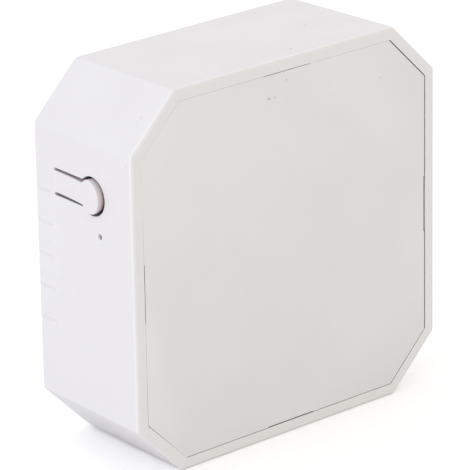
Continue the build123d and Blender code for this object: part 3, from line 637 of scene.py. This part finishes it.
class Finish(Enum):
    """Every finish, named after its material slot."""

    # The white plastics' edge colours are lighter than their own colour: a painted highlight along their
    # edges.
    HOUSING_PLASTIC = MouldedPlastic(
        "white_housing_plastic", (0.838, 0.824, 0.832), (0.828, 0.813, 0.82), (0.98, 0.97, 0.98),
        roughness=0.4, wear=0.9, round_highlight=0.6, dust=0.1, underside_shade=0.45, slot_shade=0.95,
        specks=(
            Speck(2.58, 22.95, 0.17, behind=2.25),
            Speck(10.02, 22.82, 0.17, behind=8.14, shade=0.7),
            Speck(-19.6, 19.88, 0.24, behind=2.18, shade=0.25),
            Speck(-20.3, 19.18, 0.16, behind=2.19, shade=0.2),
            Speck(-22.98, 15.26, 0.2, behind=1.05, shade=0.35),
        ),
    )
    # The button's corners take dust and painted shade in a pinkish colour, its sides away from the left and
    # facing down take more painted shade, and a near-black painted shadow lies under the pad.
    BUTTON_PLASTIC = MouldedPlastic(
        "white_button_plastic", (0.838, 0.824, 0.832), (0.828, 0.813, 0.82), (0.9, 0.89, 0.9),
        dust_and_shade_colour=(0.36, 0.15, 0.18), roughness=0.4, dust=0.75, side_shade=0.25, underside_shade=1.0,
        under_shade=1.5, corner_reach=1.0 * MM, slot_shade=0.4, slot_start=0.62,
    )
    COVER_PLASTIC = MouldedPlastic(
        "white_cover_plastic", (0.82, 0.824, 0.836), (0.808, 0.811, 0.82), (0.88, 0.88, 0.89),
        roughness=0.46, wear=0.4, dust=0.1, slot_shade=0.8,
        specks=(
            Speck(-2.7, 18.7, 0.24, 1.3),
            Speck(-1.86, 18.7, 0.12, 1.3),
            Speck(-0.1, 20.4, 0.15),
            Speck(14.4, 17.3, 0.1),
        ),
    )
    BOARD = SolderMask(
        "green_board_lacquer", (0.02, 0.12, 0.05), (0.035, 0.19, 0.075), (0.42, 0.38, 0.2)
    )
    RADIO_BOARD = SolderMask(
        "blue_board_lacquer", (0.012, 0.035, 0.14), (0.022, 0.06, 0.22), (0.4, 0.37, 0.22), run_size=1.6 * MM
    )
    BLACK_PLASTIC = MouldedPlastic(
        "black_moulding_compound", (0.02, 0.02, 0.022), (0.03, 0.03, 0.032), (0.07, 0.07, 0.075),
        roughness=0.5, grain=0.08 * MM,
    )
    TINNED_STEEL = PlatedMetal("tinned_sheet_steel", (0.62, 0.61, 0.58), (0.78, 0.77, 0.74), 0.32)
    CLEAR_RESIN = ClearResin("clear_light_resin", (0.9, 0.9, 0.84), (0.8, 0.82, 0.76))
    TERMINAL_PLASTIC = MouldedPlastic(
        "green_terminal_plastic", (0.02, 0.12, 0.055), (0.024, 0.135, 0.062), (0.06, 0.23, 0.12),
        roughness=0.38, grain=0.1 * MM,
    )
    SCREW_STEEL = PlatedMetal("zinc_plated_screw_steel", (0.6, 0.58, 0.52), (0.8, 0.79, 0.76), 0.3)
    CLAMP_BRASS = PlatedMetal("nickel_plated_clamp_brass", (0.66, 0.6, 0.48), (0.8, 0.62, 0.34), 0.34)
    CONTACT_BRASS = PlatedMetal("tinned_contact_brass", (0.66, 0.56, 0.34), (0.78, 0.6, 0.28), 0.3)
    RELAY_PLASTIC = MouldedPlastic(
        "blue_relay_case_plastic", (0.015, 0.07, 0.26), (0.018, 0.08, 0.29), (0.06, 0.15, 0.38),
        roughness=0.26, grain=0.1 * MM,
    )
    CAPACITOR_SLEEVE = MouldedPlastic(
        "black_shrunk_sleeve", (0.012, 0.014, 0.03), (0.018, 0.02, 0.04), (0.06, 0.062, 0.08),
        roughness=0.24, grain=0.3 * MM,
    )
    VARISTOR_COAT = MouldedPlastic(
        "dipped_blue_epoxy", (0.02, 0.06, 0.28), (0.028, 0.08, 0.33), (0.05, 0.11, 0.38),
        roughness=0.3, grain=0.35 * MM, grain_depth=0.012 * MM,
    )
    RESISTOR_COAT = MouldedPlastic(
        "matt_green_resistor_coat", (0.12, 0.2, 0.13), (0.15, 0.23, 0.15), (0.22, 0.29, 0.21),
        roughness=0.6, grain=0.12 * MM, grain_depth=0.01 * MM,
    )
    FERRITE = MouldedPlastic(
        "sintered_ferrite", (0.035, 0.034, 0.033), (0.05, 0.048, 0.046), (0.11, 0.108, 0.105),
        roughness=0.62, grain=0.07 * MM, grain_depth=0.008 * MM,
    )
    ENAMELLED_WIRE = PlatedMetal("enamelled_copper_wire", (0.52, 0.17, 0.06), (0.66, 0.26, 0.1), 0.26)
    CHIP_CERAMIC = MouldedPlastic(
        "glazed_chip_ceramic", (0.03, 0.03, 0.034), (0.045, 0.045, 0.048), (0.34, 0.33, 0.31),
        roughness=0.22, grain=0.1 * MM,
    )


# Meshes


class MeshMaker:
    """Collects the points and faces of a piece."""

    def __init__(self) -> None:
        """Starts with an empty mesh."""
        self.mesh = bmesh.new()

    def ring(self, radii: Sequence[float], rise: float, place: Matrix) -> Row:
        """Adds a row of points round the z axis of a placement.

        Args:
            radii: Its radius in every direction.
            rise: Its height.
            place: Where the axis stands.

        Returns:
            The points.
        """
        row = []
        for number, radius in enumerate(radii):
            angle = 2 * math.pi * number / len(radii)
            spot = Vector((radius * math.cos(angle), radius * math.sin(angle), rise))
            row.append(self.mesh.verts.new(place @ spot))
        return row

    def bridge(self, low: Row, high: Row) -> None:
        """Adds the faces between two closed rows of points.

        Args:
            low: The first row.
            high: The other row.
        """
        for number in range(len(low)):
            after = (number + 1) % len(low)
            self.mesh.faces.new((low[number], low[after], high[after], high[number]))

    def build(self, name: str) -> Piece:
        """Makes the piece and links it to the scene.

        Args:
            name: Name of the piece.

        Returns:
            The piece.
        """
        bmesh.ops.recalc_face_normals(self.mesh, faces=self.mesh.faces)
        mesh = bpy.data.meshes.new(name)
        self.mesh.to_mesh(mesh)
        self.mesh.free()
        piece = bpy.data.objects.new(name, mesh)
        bpy.context.scene.collection.objects.link(piece)
        return piece


def prism(name: str, outline: Sequence[Vector], along: Vector) -> Piece:
    """Builds a closed prism.

    Args:
        name: Name of the piece.
        outline: Points of one end, in order.
        along: From that end to the other.

    Returns:
        The piece.
    """
    maker = MeshMaker()
    first = [maker.mesh.verts.new(point) for point in outline]
    last = [maker.mesh.verts.new(point + along) for point in outline]
    maker.mesh.faces.new(first)
    maker.mesh.faces.new(reversed(last))
    maker.bridge(last, first)
    return maker.build(name)


def turned(name: str, rings: Sequence[tuple[Sequence[float], float]], place: Matrix) -> Piece:
    """Builds a closed solid from rings, with a flat fan at either end.

    Args:
        name: Name of the piece.
        rings: Radii and height of each ring.
        place: Where its axis stands.

    Returns:
        The piece.
    """
    maker = MeshMaker()
    bottom, top = (maker.mesh.verts.new(place @ Vector((0, 0, rings[end][1]))) for end in (0, -1))
    rows = [maker.ring(radii, rise, place) for radii, rise in rings]
    for number in range(len(rows[0])):
        after = (number + 1) % len(rows[0])
        maker.mesh.faces.new((bottom, rows[0][after], rows[0][number]))
        maker.mesh.faces.new((top, rows[-1][number], rows[-1][after]))
    for low, high in zip(rows, rows[1:]):
        maker.bridge(low, high)
    return maker.build(name)


def reshape(piece: Piece, kind: str, **settings: object) -> None:
    """Replaces the mesh of a piece by what a modifier makes of it.

    Args:
        piece: The piece.
        kind: Type of the modifier.
        settings: Properties of the modifier.
    """
    modifier = piece.modifiers.new(kind.lower(), kind)
    for name, value in settings.items():
        setattr(modifier, name, value)
    bpy.context.view_layer.update()
    shaped = piece.evaluated_get(bpy.context.evaluated_depsgraph_get())
    mesh = bpy.data.meshes.new_from_object(shaped)
    piece.modifiers.clear()
    piece.data = mesh


def bevel(piece: Piece, width: float, steps: int = 2) -> None:
    """Rounds the sharp edges of a piece to a width, in a number of steps."""
    reshape(piece, "BEVEL", width=width, segments=steps, limit_method="ANGLE", angle_limit=SHARP_EDGE)


def combine(piece: Piece, other: Piece, operation: str) -> None:
    """Joins another piece to a piece (UNION) or cuts it out (DIFFERENCE), and removes the other one."""
    reshape(piece, "BOOLEAN", operation=operation, solver="EXACT", object=other)
    bpy.data.objects.remove(other)


def smooth_by_angle(piece: Piece, angle: float = 32.0) -> None:
    """Shades a piece smoothly except across edges sharper than an angle in degrees."""
    piece.data.shade_smooth()
    piece.data.set_sharp_from_angle(angle=math.radians(angle))


class Dresser:
    """Gives pieces and CAD nodes their finishes and ties pieces to the frame."""

    def __init__(self) -> None:
        """Builds every finish once."""
        self.materials = {finish: finish.value.build() for finish in Finish}

    def node(self, name: str, finish: Finish) -> None:
        """Gives a CAD node its finish.

        Args:
            name: Name of the node.
            finish: Its finish.
        """
        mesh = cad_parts[name].data
        mesh.materials.clear()
        mesh.materials.append(self.materials[finish])
        LOG.info("dressed node %s with %s", name, finish.value.name)

    def piece(
        self, piece: Piece, finish: Finish, body: str | None, nodes: Iterable[str], slot: str = ""
    ) -> None:
        """Gives a built piece its finish, its body and the nodes that it stands for.

        Args:
            piece: The piece.
            finish: Its finish.
            body: The body that it rides on, or None to tie it to none.
            nodes: The CAD nodes that it replaces.
            slot: Its material slot, where the finish isn't named after it; not used.
        """
        piece.data.materials.clear()
        piece.data.materials.append(self.materials[finish])
        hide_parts(*nodes)
        if body is not None:
            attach(piece, body)
        LOG.info("built piece %s with %s", piece.name, finish.value.name)


# Sub-assemblies


@dataclass
class Case:
    """Housing with the cover snapped into its rim.

    Attributes:
        gaps: Gap between rim and cover at each of the eight sides in mm, from the right side up.
        skews: How far a side of the cover turns from its rim, in radians.
        notch_length, notch_depths: Sizes of the notch in each straight side, the depths in mm by direction.
        edge, post_edge: Rounding of the cover's edges and of the posts' edges.
        hook_gap: Gap between a hook and the wall.
        bead: Outline of the hook's bead in mm, as distance out of the hook and depth behind the plate.
        sunk: How far hooks and posts reach into the plate.
        post_inset: Distance of the cross-shaped posts from the outside.
    """

    gaps: tuple[float, ...] = (0.15, 0.12, 0.02, 0.02, 0.03, 0.036, 0.07, 0.11)
    skews: dict[int, float] = field(default_factory=lambda: {180: 0.0015, 225: -0.0085})
    notch_length: float = 7.0 * MM
    notch_depths: dict[int, float] = field(default_factory=lambda: {0: 0.13, 90: 0.05, 180: 0.08, 270: 0.08})
    edge: float = 0.03 * MM
    hook_width: float = 6.2 * MM
    hook_thickness: float = 1.0 * MM
    hook_length: float = 2.6 * MM
    hook_gap: float = 0.15 * MM
    bead: tuple[Spot, ...] = ((0.0, 1.0), (0.45, 1.35), (0.45, 1.65), (0.0, 2.3))
    sunk: float = 0.4 * MM
    post_inset: float = 5.8 * MM
    post_width: float = 2.0 * MM
    post_rib: float = 0.7 * MM
    post_length: float = 1.35 * MM
    post_edge: float = 0.08 * MM

    def plate_outline(self) -> list[Spot]:
        """Works out the plate's outline.

        Returns:
            Points across and up from the middle, in order round the plate.
        """
        turns = range(0, 360, 45)
        lines = [
            (math.radians(turn) + self.skews.get(turn, 0.0), SIZE.reach(turn) - SIZE.rim - gap * MM)
            for turn, gap in zip(turns, self.gaps)
        ]
        outline = []
        for turn, (first, near), (second, far) in zip(turns, lines, lines[1:] + lines[:1]):
            if turn in self.notch_depths:
                outline += self.notch(turn, near)
            spread = math.sin(second - first)
            across = (near * math.sin(second) - far * math.sin(first)) / spread
            outline.append((across, (far * math.cos(first) - near * math.cos(second)) / spread))
        return outline

    def notch(self, turn: int, reach: float) -> list[Spot]:
        """Works out the notch in the middle of a straight side.

        Args:
            turn: Direction of the side in degrees.
            reach: Distance of the side from the middle.

        Returns:
            Its four points.
        """
        angle = math.radians(turn)
        half, inside = self.notch_length / 2, reach - self.notch_depths[turn] * MM
        return [
            (out * math.cos(angle) - side * math.sin(angle), out * math.sin(angle) + side * math.cos(angle))
            for out, side in ((reach, -half), (inside, -half), (inside, half), (reach, half))
        ]

    def build_cover(self) -> Piece:
        """Builds the cover with its hooks and posts.

        Returns:
            The piece.
        """
        outline = [SIZE.front_point(across, rise) for across, rise in self.plate_outline()]
        cover = prism("cover_with_hooks", outline, Vector((0, SIZE.cover_thickness, 0)))
        bevel(cover, self.edge)
        for turn in range(0, 360, 90):
            combine(cover, self.build_hook(turn), "UNION")
        for side, level in product((-1, 1), repeat=2):
            across = side * (SIZE.width / 2 - self.post_inset)
            rise = level * (SIZE.height / 2 - self.post_inset)
            combine(cover, self.build_post(across, rise), "UNION")
        smooth_by_angle(cover)
        return cover

    def build_hook(self, turn: int) -> Piece:
        """Builds one snap hook, which reaches a little way into the plate.

        Args:
            turn: Direction of its side in degrees.

        Returns:
            The piece.
        """
        angle = math.radians(turn)
        out = Vector((math.cos(angle), 0, math.sin(angle)))
        side = Vector((-math.sin(angle), 0, math.cos(angle)))
        face = SIZE.reach(turn) - SIZE.wall - self.hook_gap
        start, end = SIZE.cover_thickness - self.sunk, SIZE.cover_thickness + self.hook_length
        bead = [(face + reach * MM, SIZE.cover_thickness + behind * MM) for reach, behind in self.bead]
        inside = face - self.hook_thickness
        steps = [(inside, start), (face, start), *bead, (face, end), (inside, end)]
        origin = SIZE.front_point(0, 0) - side * (self.hook_width / 2)
        outline = [origin + out * reach + Vector((0, behind, 0)) for reach, behind in steps]
        return prism("hook", outline, side * self.hook_width)

    def build_post(self, across: float, rise: float) -> Piece:
        """Builds one cross-shaped post, which presses the board on its pillar.

        Args:
            across: Its place to the right of the middle.
            rise: Its place above the middle.

        Returns:
            The piece, which reaches a little way into the plate.
        """
        far, near = self.post_width / 2, self.post_rib / 2
        outline = [(far, -near), (far, near), (near, near)]
        for _ in range(3):
            outline += [(-side, out) for out, side in outline[-3:]]
        start = SIZE.front_point(across, rise, SIZE.cover_thickness - self.sunk)
        length = Vector((0, self.sunk + self.post_length, 0))
        post = prism("post", [start + Vector((x, 0, z)) for x, z in outline], length)
        bevel(post, self.post_edge)
        return post

    def dress(self, dresser: Dresser) -> None:
        """Builds and dresses the case."""
        dresser.node("housing", Finish.HOUSING_PLASTIC)
        dresser.piece(self.build_cover(), Finish.COVER_PLASTIC, "module", ["cover_plate"])


@dataclass
class LearnButton:
    """Springy tongue with its pad, moulded in one with the left wall.

    Attributes:
        depth, rise: Place of the pad's middle behind the front and above the module's middle.
        root_depth: Depth of the slots' rear end.
        root_overlap: How far the tongue's skin runs on under the wall behind its root.
        skin, skin_end: How far that skin stands proud at the root, and how far its end lies under the wall.
        slope_length: Length of the slope from the thin root to the full thickness.
        tongue_raise: How far the tongue stands out where it meets the pad.
        curve_steps: Number of steps along the tongue's curve.
        tongue_edge, pad_round: Rounding of the tongue's edges and of the pad's edge.
        pad_raise: How far the pad's front edge stands out of the wall.
    """

    depth: float = 7.33 * MM
    rise: float = 10.1 * MM
    root_depth: float = 14.26 * MM
    root_overlap: float = 0.2 * MM
    skin: float = 0.003 * MM
    skin_end: float = 0.01 * MM
    width: float = 2.6 * MM
    thickness: float = 1.0 * MM
    root_thickness: float = 0.6 * MM
    root_length: float = 1.3 * MM
    slope_length: float = 0.6 * MM
    tongue_raise: float = 0.23 * MM
    tongue_edge: float = 0.05 * MM
    curve_steps: int = 8
    pad_radius: float = 2.0 * MM
    pad_sides: int = 96
    pad_raise: float = 0.75 * MM
    pad_round: float = 0.14 * MM
    nub_radius: float = 0.9 * MM
    nub_length: float = 0.7 * MM

    def wall_prism(self, name: str, outline: Sequence[Spot], width: float) -> Piece:
        """Builds a prism that stands upright at the left wall, centred on the pad's height.

        Args:
            name: Name of the piece.
            outline: Points of its foot, as depth behind the front and distance out of the wall.
            width: Its height.

        Returns:
            The piece.
        """
        wall = SIZE.left_wall()
        foot = [wall @ Vector((behind, self.rise - width / 2, out)) for behind, out in outline]
        return prism(name, foot, Vector((0, 0, width)))

    def build_tongue(self) -> Piece:
        """Builds the tongue with its thin root.

        Returns:
            The piece.
        """
        root = self.root_depth - self.root_thickness / 2
        end = self.root_depth + self.root_overlap
        run = root - self.depth - self.pad_radius
        outline = [(end, -self.skin_end)]
        for number in range(self.curve_steps + 1):
            share = number / self.curve_steps
            outline.append((root - run * share, self.skin + (self.tongue_raise - self.skin) * share**2))
        outline += [
            (self.depth, (self.tongue_raise + self.pad_raise) / 2),
            (self.depth, -self.thickness),
            (root - self.root_length - self.slope_length, -self.thickness),
            (root - self.root_length, -self.root_thickness),
            (end, -self.root_thickness),
        ]
        tongue = self.wall_prism("tongue", outline, self.width)
        bevel(tongue, self.tongue_edge)
        return tongue

    def build_pad(self) -> Piece:
        """Builds the pad, its face tilted as the tongue bends out, and the nub behind it.

        Returns:
            The piece.
        """
        above, side = 2 * self.pad_raise, 2 * self.pad_radius
        rings = (
            (self.nub_radius, -self.thickness - self.nub_length),
            (self.nub_radius, -self.thickness),
            (self.pad_radius, -self.thickness),
            (self.pad_radius, above),
        )
        axis = SIZE.left_wall() @ Matrix.Translation((self.depth, self.rise, 0))
        pad = turned("pad", [([radius] * self.pad_sides, rise) for radius, rise in rings], axis)
        slope = (self.pad_raise - self.tongue_raise) / side
        middle = (self.tongue_raise + self.pad_raise) / 2
        outline = [(self.depth + behind, middle - slope * behind) for behind in (-side, side)]
        outline += [(self.depth + side, 2 * above), (self.depth - side, 2 * above)]
        combine(pad, self.wall_prism("cutter", outline, 2 * side), "DIFFERENCE")
        bevel(pad, self.pad_round, 4)
        return pad

    def dress(self, dresser: Dresser) -> None:
        """Builds and dresses the button, which is tied to no body.

        Args:
            dresser: Gives the finishes.
        """
        button = self.build_tongue()
        combine(button, self.build_pad(), "UNION")
        button.name = "learn_button_tongue"
        smooth_by_angle(button)
        dresser.piece(button, Finish.BUTTON_PLASTIC, None, ["learn_button"], slot="housing_plastic")
        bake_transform(button)


@dataclass
class ScrewTerminals:
    """Six poles: captive screws, rising clamps and contact bars in two blocks.

    Attributes:
        spacing: Distance between poles.
        shank_start, head_start, head_end: Ends of shank and head, along Y.
        head_lip, head_bevel: Bevels of the head's front and rear edges.
        shank_radius: Outer radius of the thread.
        thread_step: Distance between turns.
        thread_sides, turn_steps: Number of sides and of rings in a turn.
        tip, tip_growth: Share of the radius at the shank's end, and how much it grows from ring to ring.
        slots: Width and height of the long slot and of the shorter one across it.
        smooth: Edges sharper than this many degrees stay sharp.
    """

    count: int = 6
    spacing: float = 5.0 * MM
    shank_start: float = 0.5 * MM
    head_start: float = 4.75 * MM
    head_end: float = 6.4 * MM
    head_radius: float = 1.8 * MM
    head_lip: float = 0.1 * MM
    head_bevel: float = 0.2 * MM
    shank_radius: float = 1.25 * MM
    thread_depth: float = 0.24 * MM
    thread_step: float = 0.45 * MM
    thread_sides: int = 40
    turn_steps: int = 8
    tip: float = 0.75
    tip_growth: float = 0.05
    slots: tuple[Spot, ...] = ((0.6 * MM, 5.4 * MM), (2.3 * MM, 0.5 * MM))
    slot_depth: float = 0.8 * MM
    smooth: float = 40.0

    def thread(self) -> list[tuple[list[float], float]]:
        """Works out the thread.

        Returns:
            Radii and height of each of its rings.
        """
        step = self.thread_step / self.turn_steps
        rings = []
        for number in range(int((self.head_start - self.shank_start) / step) + 1):
            rise = self.shank_start + number * step
            lead = min(1.0, self.tip + number * self.tip_growth)
            radii = []
            for side in range(self.thread_sides):
                phase = (rise / self.thread_step - side / self.thread_sides) % 1.0
                radii.append((self.shank_radius - self.thread_depth * abs(2 * phase - 1)) * lead)
            rings.append((radii, rise))
        return rings

    def build_screw(self, name: str, across: float) -> Piece:
        """Builds one screw with a turned thread and a slotted head.

        Args:
            name: Name of the piece.
            across: Its place along X.

        Returns:
            The piece.
        """
        low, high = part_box("terminal_screw_1")
        height = (low.z + high.z) / 2
        head = (
            (self.shank_radius, self.head_start),
            (self.head_radius - self.head_lip, self.head_start),
            (self.head_radius, self.head_start + self.head_lip),
            (self.head_radius, self.head_end - self.head_bevel),
            (self.head_radius - self.head_bevel, self.head_end),
        )
        rings = self.thread() + [([radius] * self.thread_sides, rise) for radius, rise in head]
        screw = turned(name, rings, Matrix.Translation((across, 0, height)) @ ALONG_Y)
        start = self.head_end - self.slot_depth
        for wide, tall in self.slots:
            outline = [Vector((across + x * wide / 2, start, height + z * tall / 2)) for x, z in SQUARE]
            combine(screw, prism("slot", outline, Vector((0, 2 * self.slot_depth, 0))), "DIFFERENCE")
        smooth_by_angle(screw, self.smooth)
        return screw

    def dress(self, dresser: Dresser) -> None:
        """Builds and dresses the terminals.

        Args:
            dresser: Gives the finishes.
        """
        for side in ("left", "right"):
            dresser.node(f"terminal_block_{side}", Finish.TERMINAL_PLASTIC)
        for number in range(1, self.count + 1):
            across = (number - (self.count + 1) / 2) * self.spacing
            screw = self.build_screw(f"slotted_screw_{number}", across)
            dresser.piece(screw, Finish.SCREW_STEEL, f"screw_{number}", [f"terminal_screw_{number}"])
            dresser.node(f"wire_clamp_{number}", Finish.CLAMP_BRASS)
            dresser.node(f"terminal_contact_{number}", Finish.CONTACT_BRASS)


@dataclass
class PowerInductor:
    """Drum core with its winding, of which the outer layer shows.

    Attributes:
        wire: Diameter of the wire.
        build_up: Thickness of all layers.
        sides, arc_steps: Number of sides of a turn, and of points on the wire's outer half.
        smooth: Edges sharper than this many degrees stay sharp.
    """

    wire: float = 0.28 * MM
    build_up: float = 1.15 * MM
    sides: int = 56
    arc_steps: int = 5
    smooth: float = 60.0

    def build_winding(self) -> Piece:
        """Builds the winding inside the box of its CAD node.

        Returns:
            The piece.
        """
        low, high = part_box("inductor_winding")
        middle = (low + high) / 2
        outer, length = (high.x - low.x) / 2, high.y - low.y
        turns = int(length / self.wire)
        half = length / turns / 2
        outline = [(outer - self.build_up, 0.0)]
        for number in range(turns):
            for part in range(self.arc_steps):
                angle = math.pi * (part + 0.5) / self.arc_steps
                rise = (2 * number + 1 - math.cos(angle)) * half
                outline.append((outer - half + half * math.sin(angle), rise))
        outline.append((outer - self.build_up, length))
        place = Matrix.Translation((middle.x, low.y, middle.z)) @ ALONG_Y
        maker = MeshMaker()
        rows = [maker.ring([radius] * self.sides, rise, place) for radius, rise in outline]
        for below, above in zip(rows, rows[1:] + rows[:1]):
            maker.bridge(below, above)
        winding = maker.build("wound_wire")
        smooth_by_angle(winding, self.smooth)
        return winding

    def dress(self, dresser: Dresser) -> None:
        """Builds and dresses the inductor."""
        dresser.node("inductor_core", Finish.FERRITE)
        dresser.piece(self.build_winding(), Finish.ENAMELLED_WIRE, "module", ["inductor_winding"])


@dataclass
class Electronics:
    """The board and the parts on it that keep their CAD shapes, listed by finish."""

    nodes: dict[Finish, tuple[str, ...]] = field(
        default_factory=lambda: {
            Finish.BOARD: ("main_board",),
            Finish.RADIO_BOARD: ("radio_board",),
            Finish.BLACK_PLASTIC: (
                "switch_base", "switch_plunger", "relay_up_base", "relay_down_base", "radio_chip",
                "bridge_rectifier", "converter_chip", "voltage_regulator", "relay_drivers",
            ),
            Finish.TINNED_STEEL: ("switch_frame", "radio_shield"),
            Finish.CLEAR_RESIN: ("status_led",),
            Finish.RELAY_PLASTIC: ("relay_up_case", "relay_down_case"),
            Finish.CAPACITOR_SLEEVE: ("input_capacitor", "output_capacitor"),
            Finish.VARISTOR_COAT: ("varistor",),
            Finish.RESISTOR_COAT: ("fusible_resistor",),
            Finish.CHIP_CERAMIC: ("input_resistors",),
        }
    )

    def dress(self, dresser: Dresser) -> None:
        """Dresses every part on the board.

        Args:
            dresser: Gives the finishes.
        """
        for finish, names in self.nodes.items():
            for name in names:
                dresser.node(name, finish)


# Studio


@dataclass
class SoftBox:
    """A large square lamp, with its place from the module's middle and its power in watts."""

    name: str
    place: Point
    size: float
    power: float


@dataclass
class Studio:
    """Pale floor, soft light and the camera, placed from the module's middle.

    Attributes:
        yaw, pitch, roll: Turn of the view from +Y towards +X, how far it looks down, and turn of the picture.
        focal_pixels, picture: Focal length and side of the picture, in pixels.
        sensor: Side of the sensor in mm.
        clip: Nearest and farthest distance that the camera shows.
        side_light, front_light: Colours of the world's light from the side and from the front.
        side: Direction that the side light comes from.
        floor_gap: Gap between the floor and the module's foot.
        floor_glow: What the floor adds for the camera, so that it shows white.
    """

    camera_place: Point = (-0.275644, -0.322572, 0.159103)
    yaw: float = 0.706279
    pitch: float = 0.360565
    roll: float = -0.017836
    focal_pixels: float = 3882.92
    picture: int = 470
    sensor: float = 36.0
    clip: Spot = (0.01, 20.0)
    side_light: Colour = (0.975, 0.997, 1.093)
    front_light: Colour = (0.831, 0.768, 0.608)
    side: Point = (-0.65, 0.62, 0.44)
    lamps: tuple[SoftBox, ...] = (
        SoftBox("left_softbox", (-0.85, -0.05, -0.02), 0.45, 1.5),
        SoftBox("front_softbox", (0.15, -0.85, 0.02), 0.55, 0.15),
    )
    floor_reach: float = 3.0
    floor_thickness: float = 0.02
    floor_gap: float = 0.01 * MM
    floor_glow: float = 0.25

    def from_middle(self, place: Point) -> Vector:
        """Turns a place from the module's middle into one in the shared frame."""
        return Vector(place) + Vector((0, 0, SIZE.height / 2))

    def build_camera(self) -> None:
        """Places the camera as the photograph was taken."""
        flat = math.cos(self.pitch)
        forward = Vector((math.sin(self.yaw) * flat, math.cos(self.yaw) * flat, -math.sin(self.pitch)))
        level = Vector((math.cos(self.yaw), -math.sin(self.yaw), 0))
        upright = level.cross(forward)
        right = level * math.cos(self.roll) + upright * math.sin(self.roll)
        up = upright * math.cos(self.roll) - level * math.sin(self.roll)
        turn = Matrix((right, up, -forward)).transposed().to_4x4()
        data = bpy.data.cameras.new("photo_camera")
        data.sensor_width = self.sensor
        data.lens = self.focal_pixels / self.picture * self.sensor
        data.clip_start, data.clip_end = self.clip
        camera = bpy.data.objects.new("photo_camera", data)
        camera.matrix_world = Matrix.Translation(self.from_middle(self.camera_place)) @ turn
        bpy.context.scene.collection.objects.link(camera)
        bpy.context.scene.camera = camera

    def build_lamps(self) -> None:
        """Hangs the lamps, each facing the module."""
        for lamp in self.lamps:
            data = bpy.data.lights.new(lamp.name, "AREA")
            data.shape = "SQUARE"
            data.size = lamp.size
            data.energy = lamp.power
            light = bpy.data.objects.new(lamp.name, data)
            light.location = self.from_middle(lamp.place)
            light.rotation_euler = (-Vector(lamp.place)).to_track_quat("-Z", "Y").to_euler()
            bpy.context.scene.collection.objects.link(light)

    def build_world(self) -> None:
        """Lights the scene evenly and shows white behind it."""
        world = bpy.data.worlds.new("studio")
        world.use_nodes = True
        world.node_tree.nodes.clear()
        tree = NodeTree(world.node_tree)
        path = tree.add("ShaderNodeLightPath").outputs
        seen = tree.maths("MAXIMUM", path["Is Camera Ray"], path["Is Glossy Ray"])
        seen = tree.maths("MAXIMUM", seen, path["Is Transmission Ray"])
        toward = tree.add("ShaderNodeTexCoord").outputs["Generated"]
        aside = tree.vectors("DOT_PRODUCT", toward, tuple(Vector(self.side).normalized()))["Value"]
        light = tree.tint(tree.maths("MULTIPLY_ADD", aside, 0.5, 0.5), self.front_light, self.side_light)
        back = tree.add("ShaderNodeBackground", {"Color": tree.tint(seen, light, WHITE), "Strength": 1.0})
        tree.add("ShaderNodeOutputWorld", {"Surface": back.outputs["Background"]})
        bpy.context.scene.world = world

    def build_floor(self) -> None:
        """Lays the pale floor, which shows white to the camera except where the module shades it."""
        reach, under = self.floor_reach, self.floor_thickness
        corners = [Vector((x * reach, y * reach, -under)) for x, y in SQUARE]
        floor = prism("floor", corners, Vector((0, 0, under - self.floor_gap)))
        material, tree, shader = new_material("floor_paper")
        fibre = tree.ramp(tree.noise(tree.place(), 2 * MM, 4.0), 0.3, 0.7)
        paper = tree.tint(fibre, (0.90, 0.90, 0.90), (0.92, 0.92, 0.92))
        tree.feed(shader, {"Base Color": paper, "Roughness": 0.9})
        seen = tree.add("ShaderNodeLightPath").outputs["Is Camera Ray"]
        glow = tree.add("ShaderNodeEmission", {"Color": WHITE, "Strength": tree.times(seen, self.floor_glow)})
        both = tree.add("ShaderNodeAddShader", {0: shader.outputs["BSDF"], 1: glow.outputs["Emission"]})
        out = next(node for node in tree.tree.nodes if node.type == "OUTPUT_MATERIAL")
        tree.feed(out, {"Surface": both.outputs["Shader"]})
        floor.data.materials.append(material)

    def build(self) -> None:
        """Builds the whole studio."""
        bpy.context.scene.view_settings.view_transform = "Standard"
        self.build_world()
        self.build_lamps()
        self.build_floor()
        self.build_camera()
        LOG.info("built the studio")


def main() -> None:
    """Builds the module's pieces and the studio in order."""
    logging.basicConfig(level=logging.INFO, format="%(name)s: %(message)s")
    dresser = Dresser()
    for group in (Case(), LearnButton(), ScrewTerminals(), PowerInductor(), Electronics()):
        group.dress(dresser)
        LOG.info("finished %s", type(group).__name__)
    Studio().build()


if __name__ == "__main__":
    main()
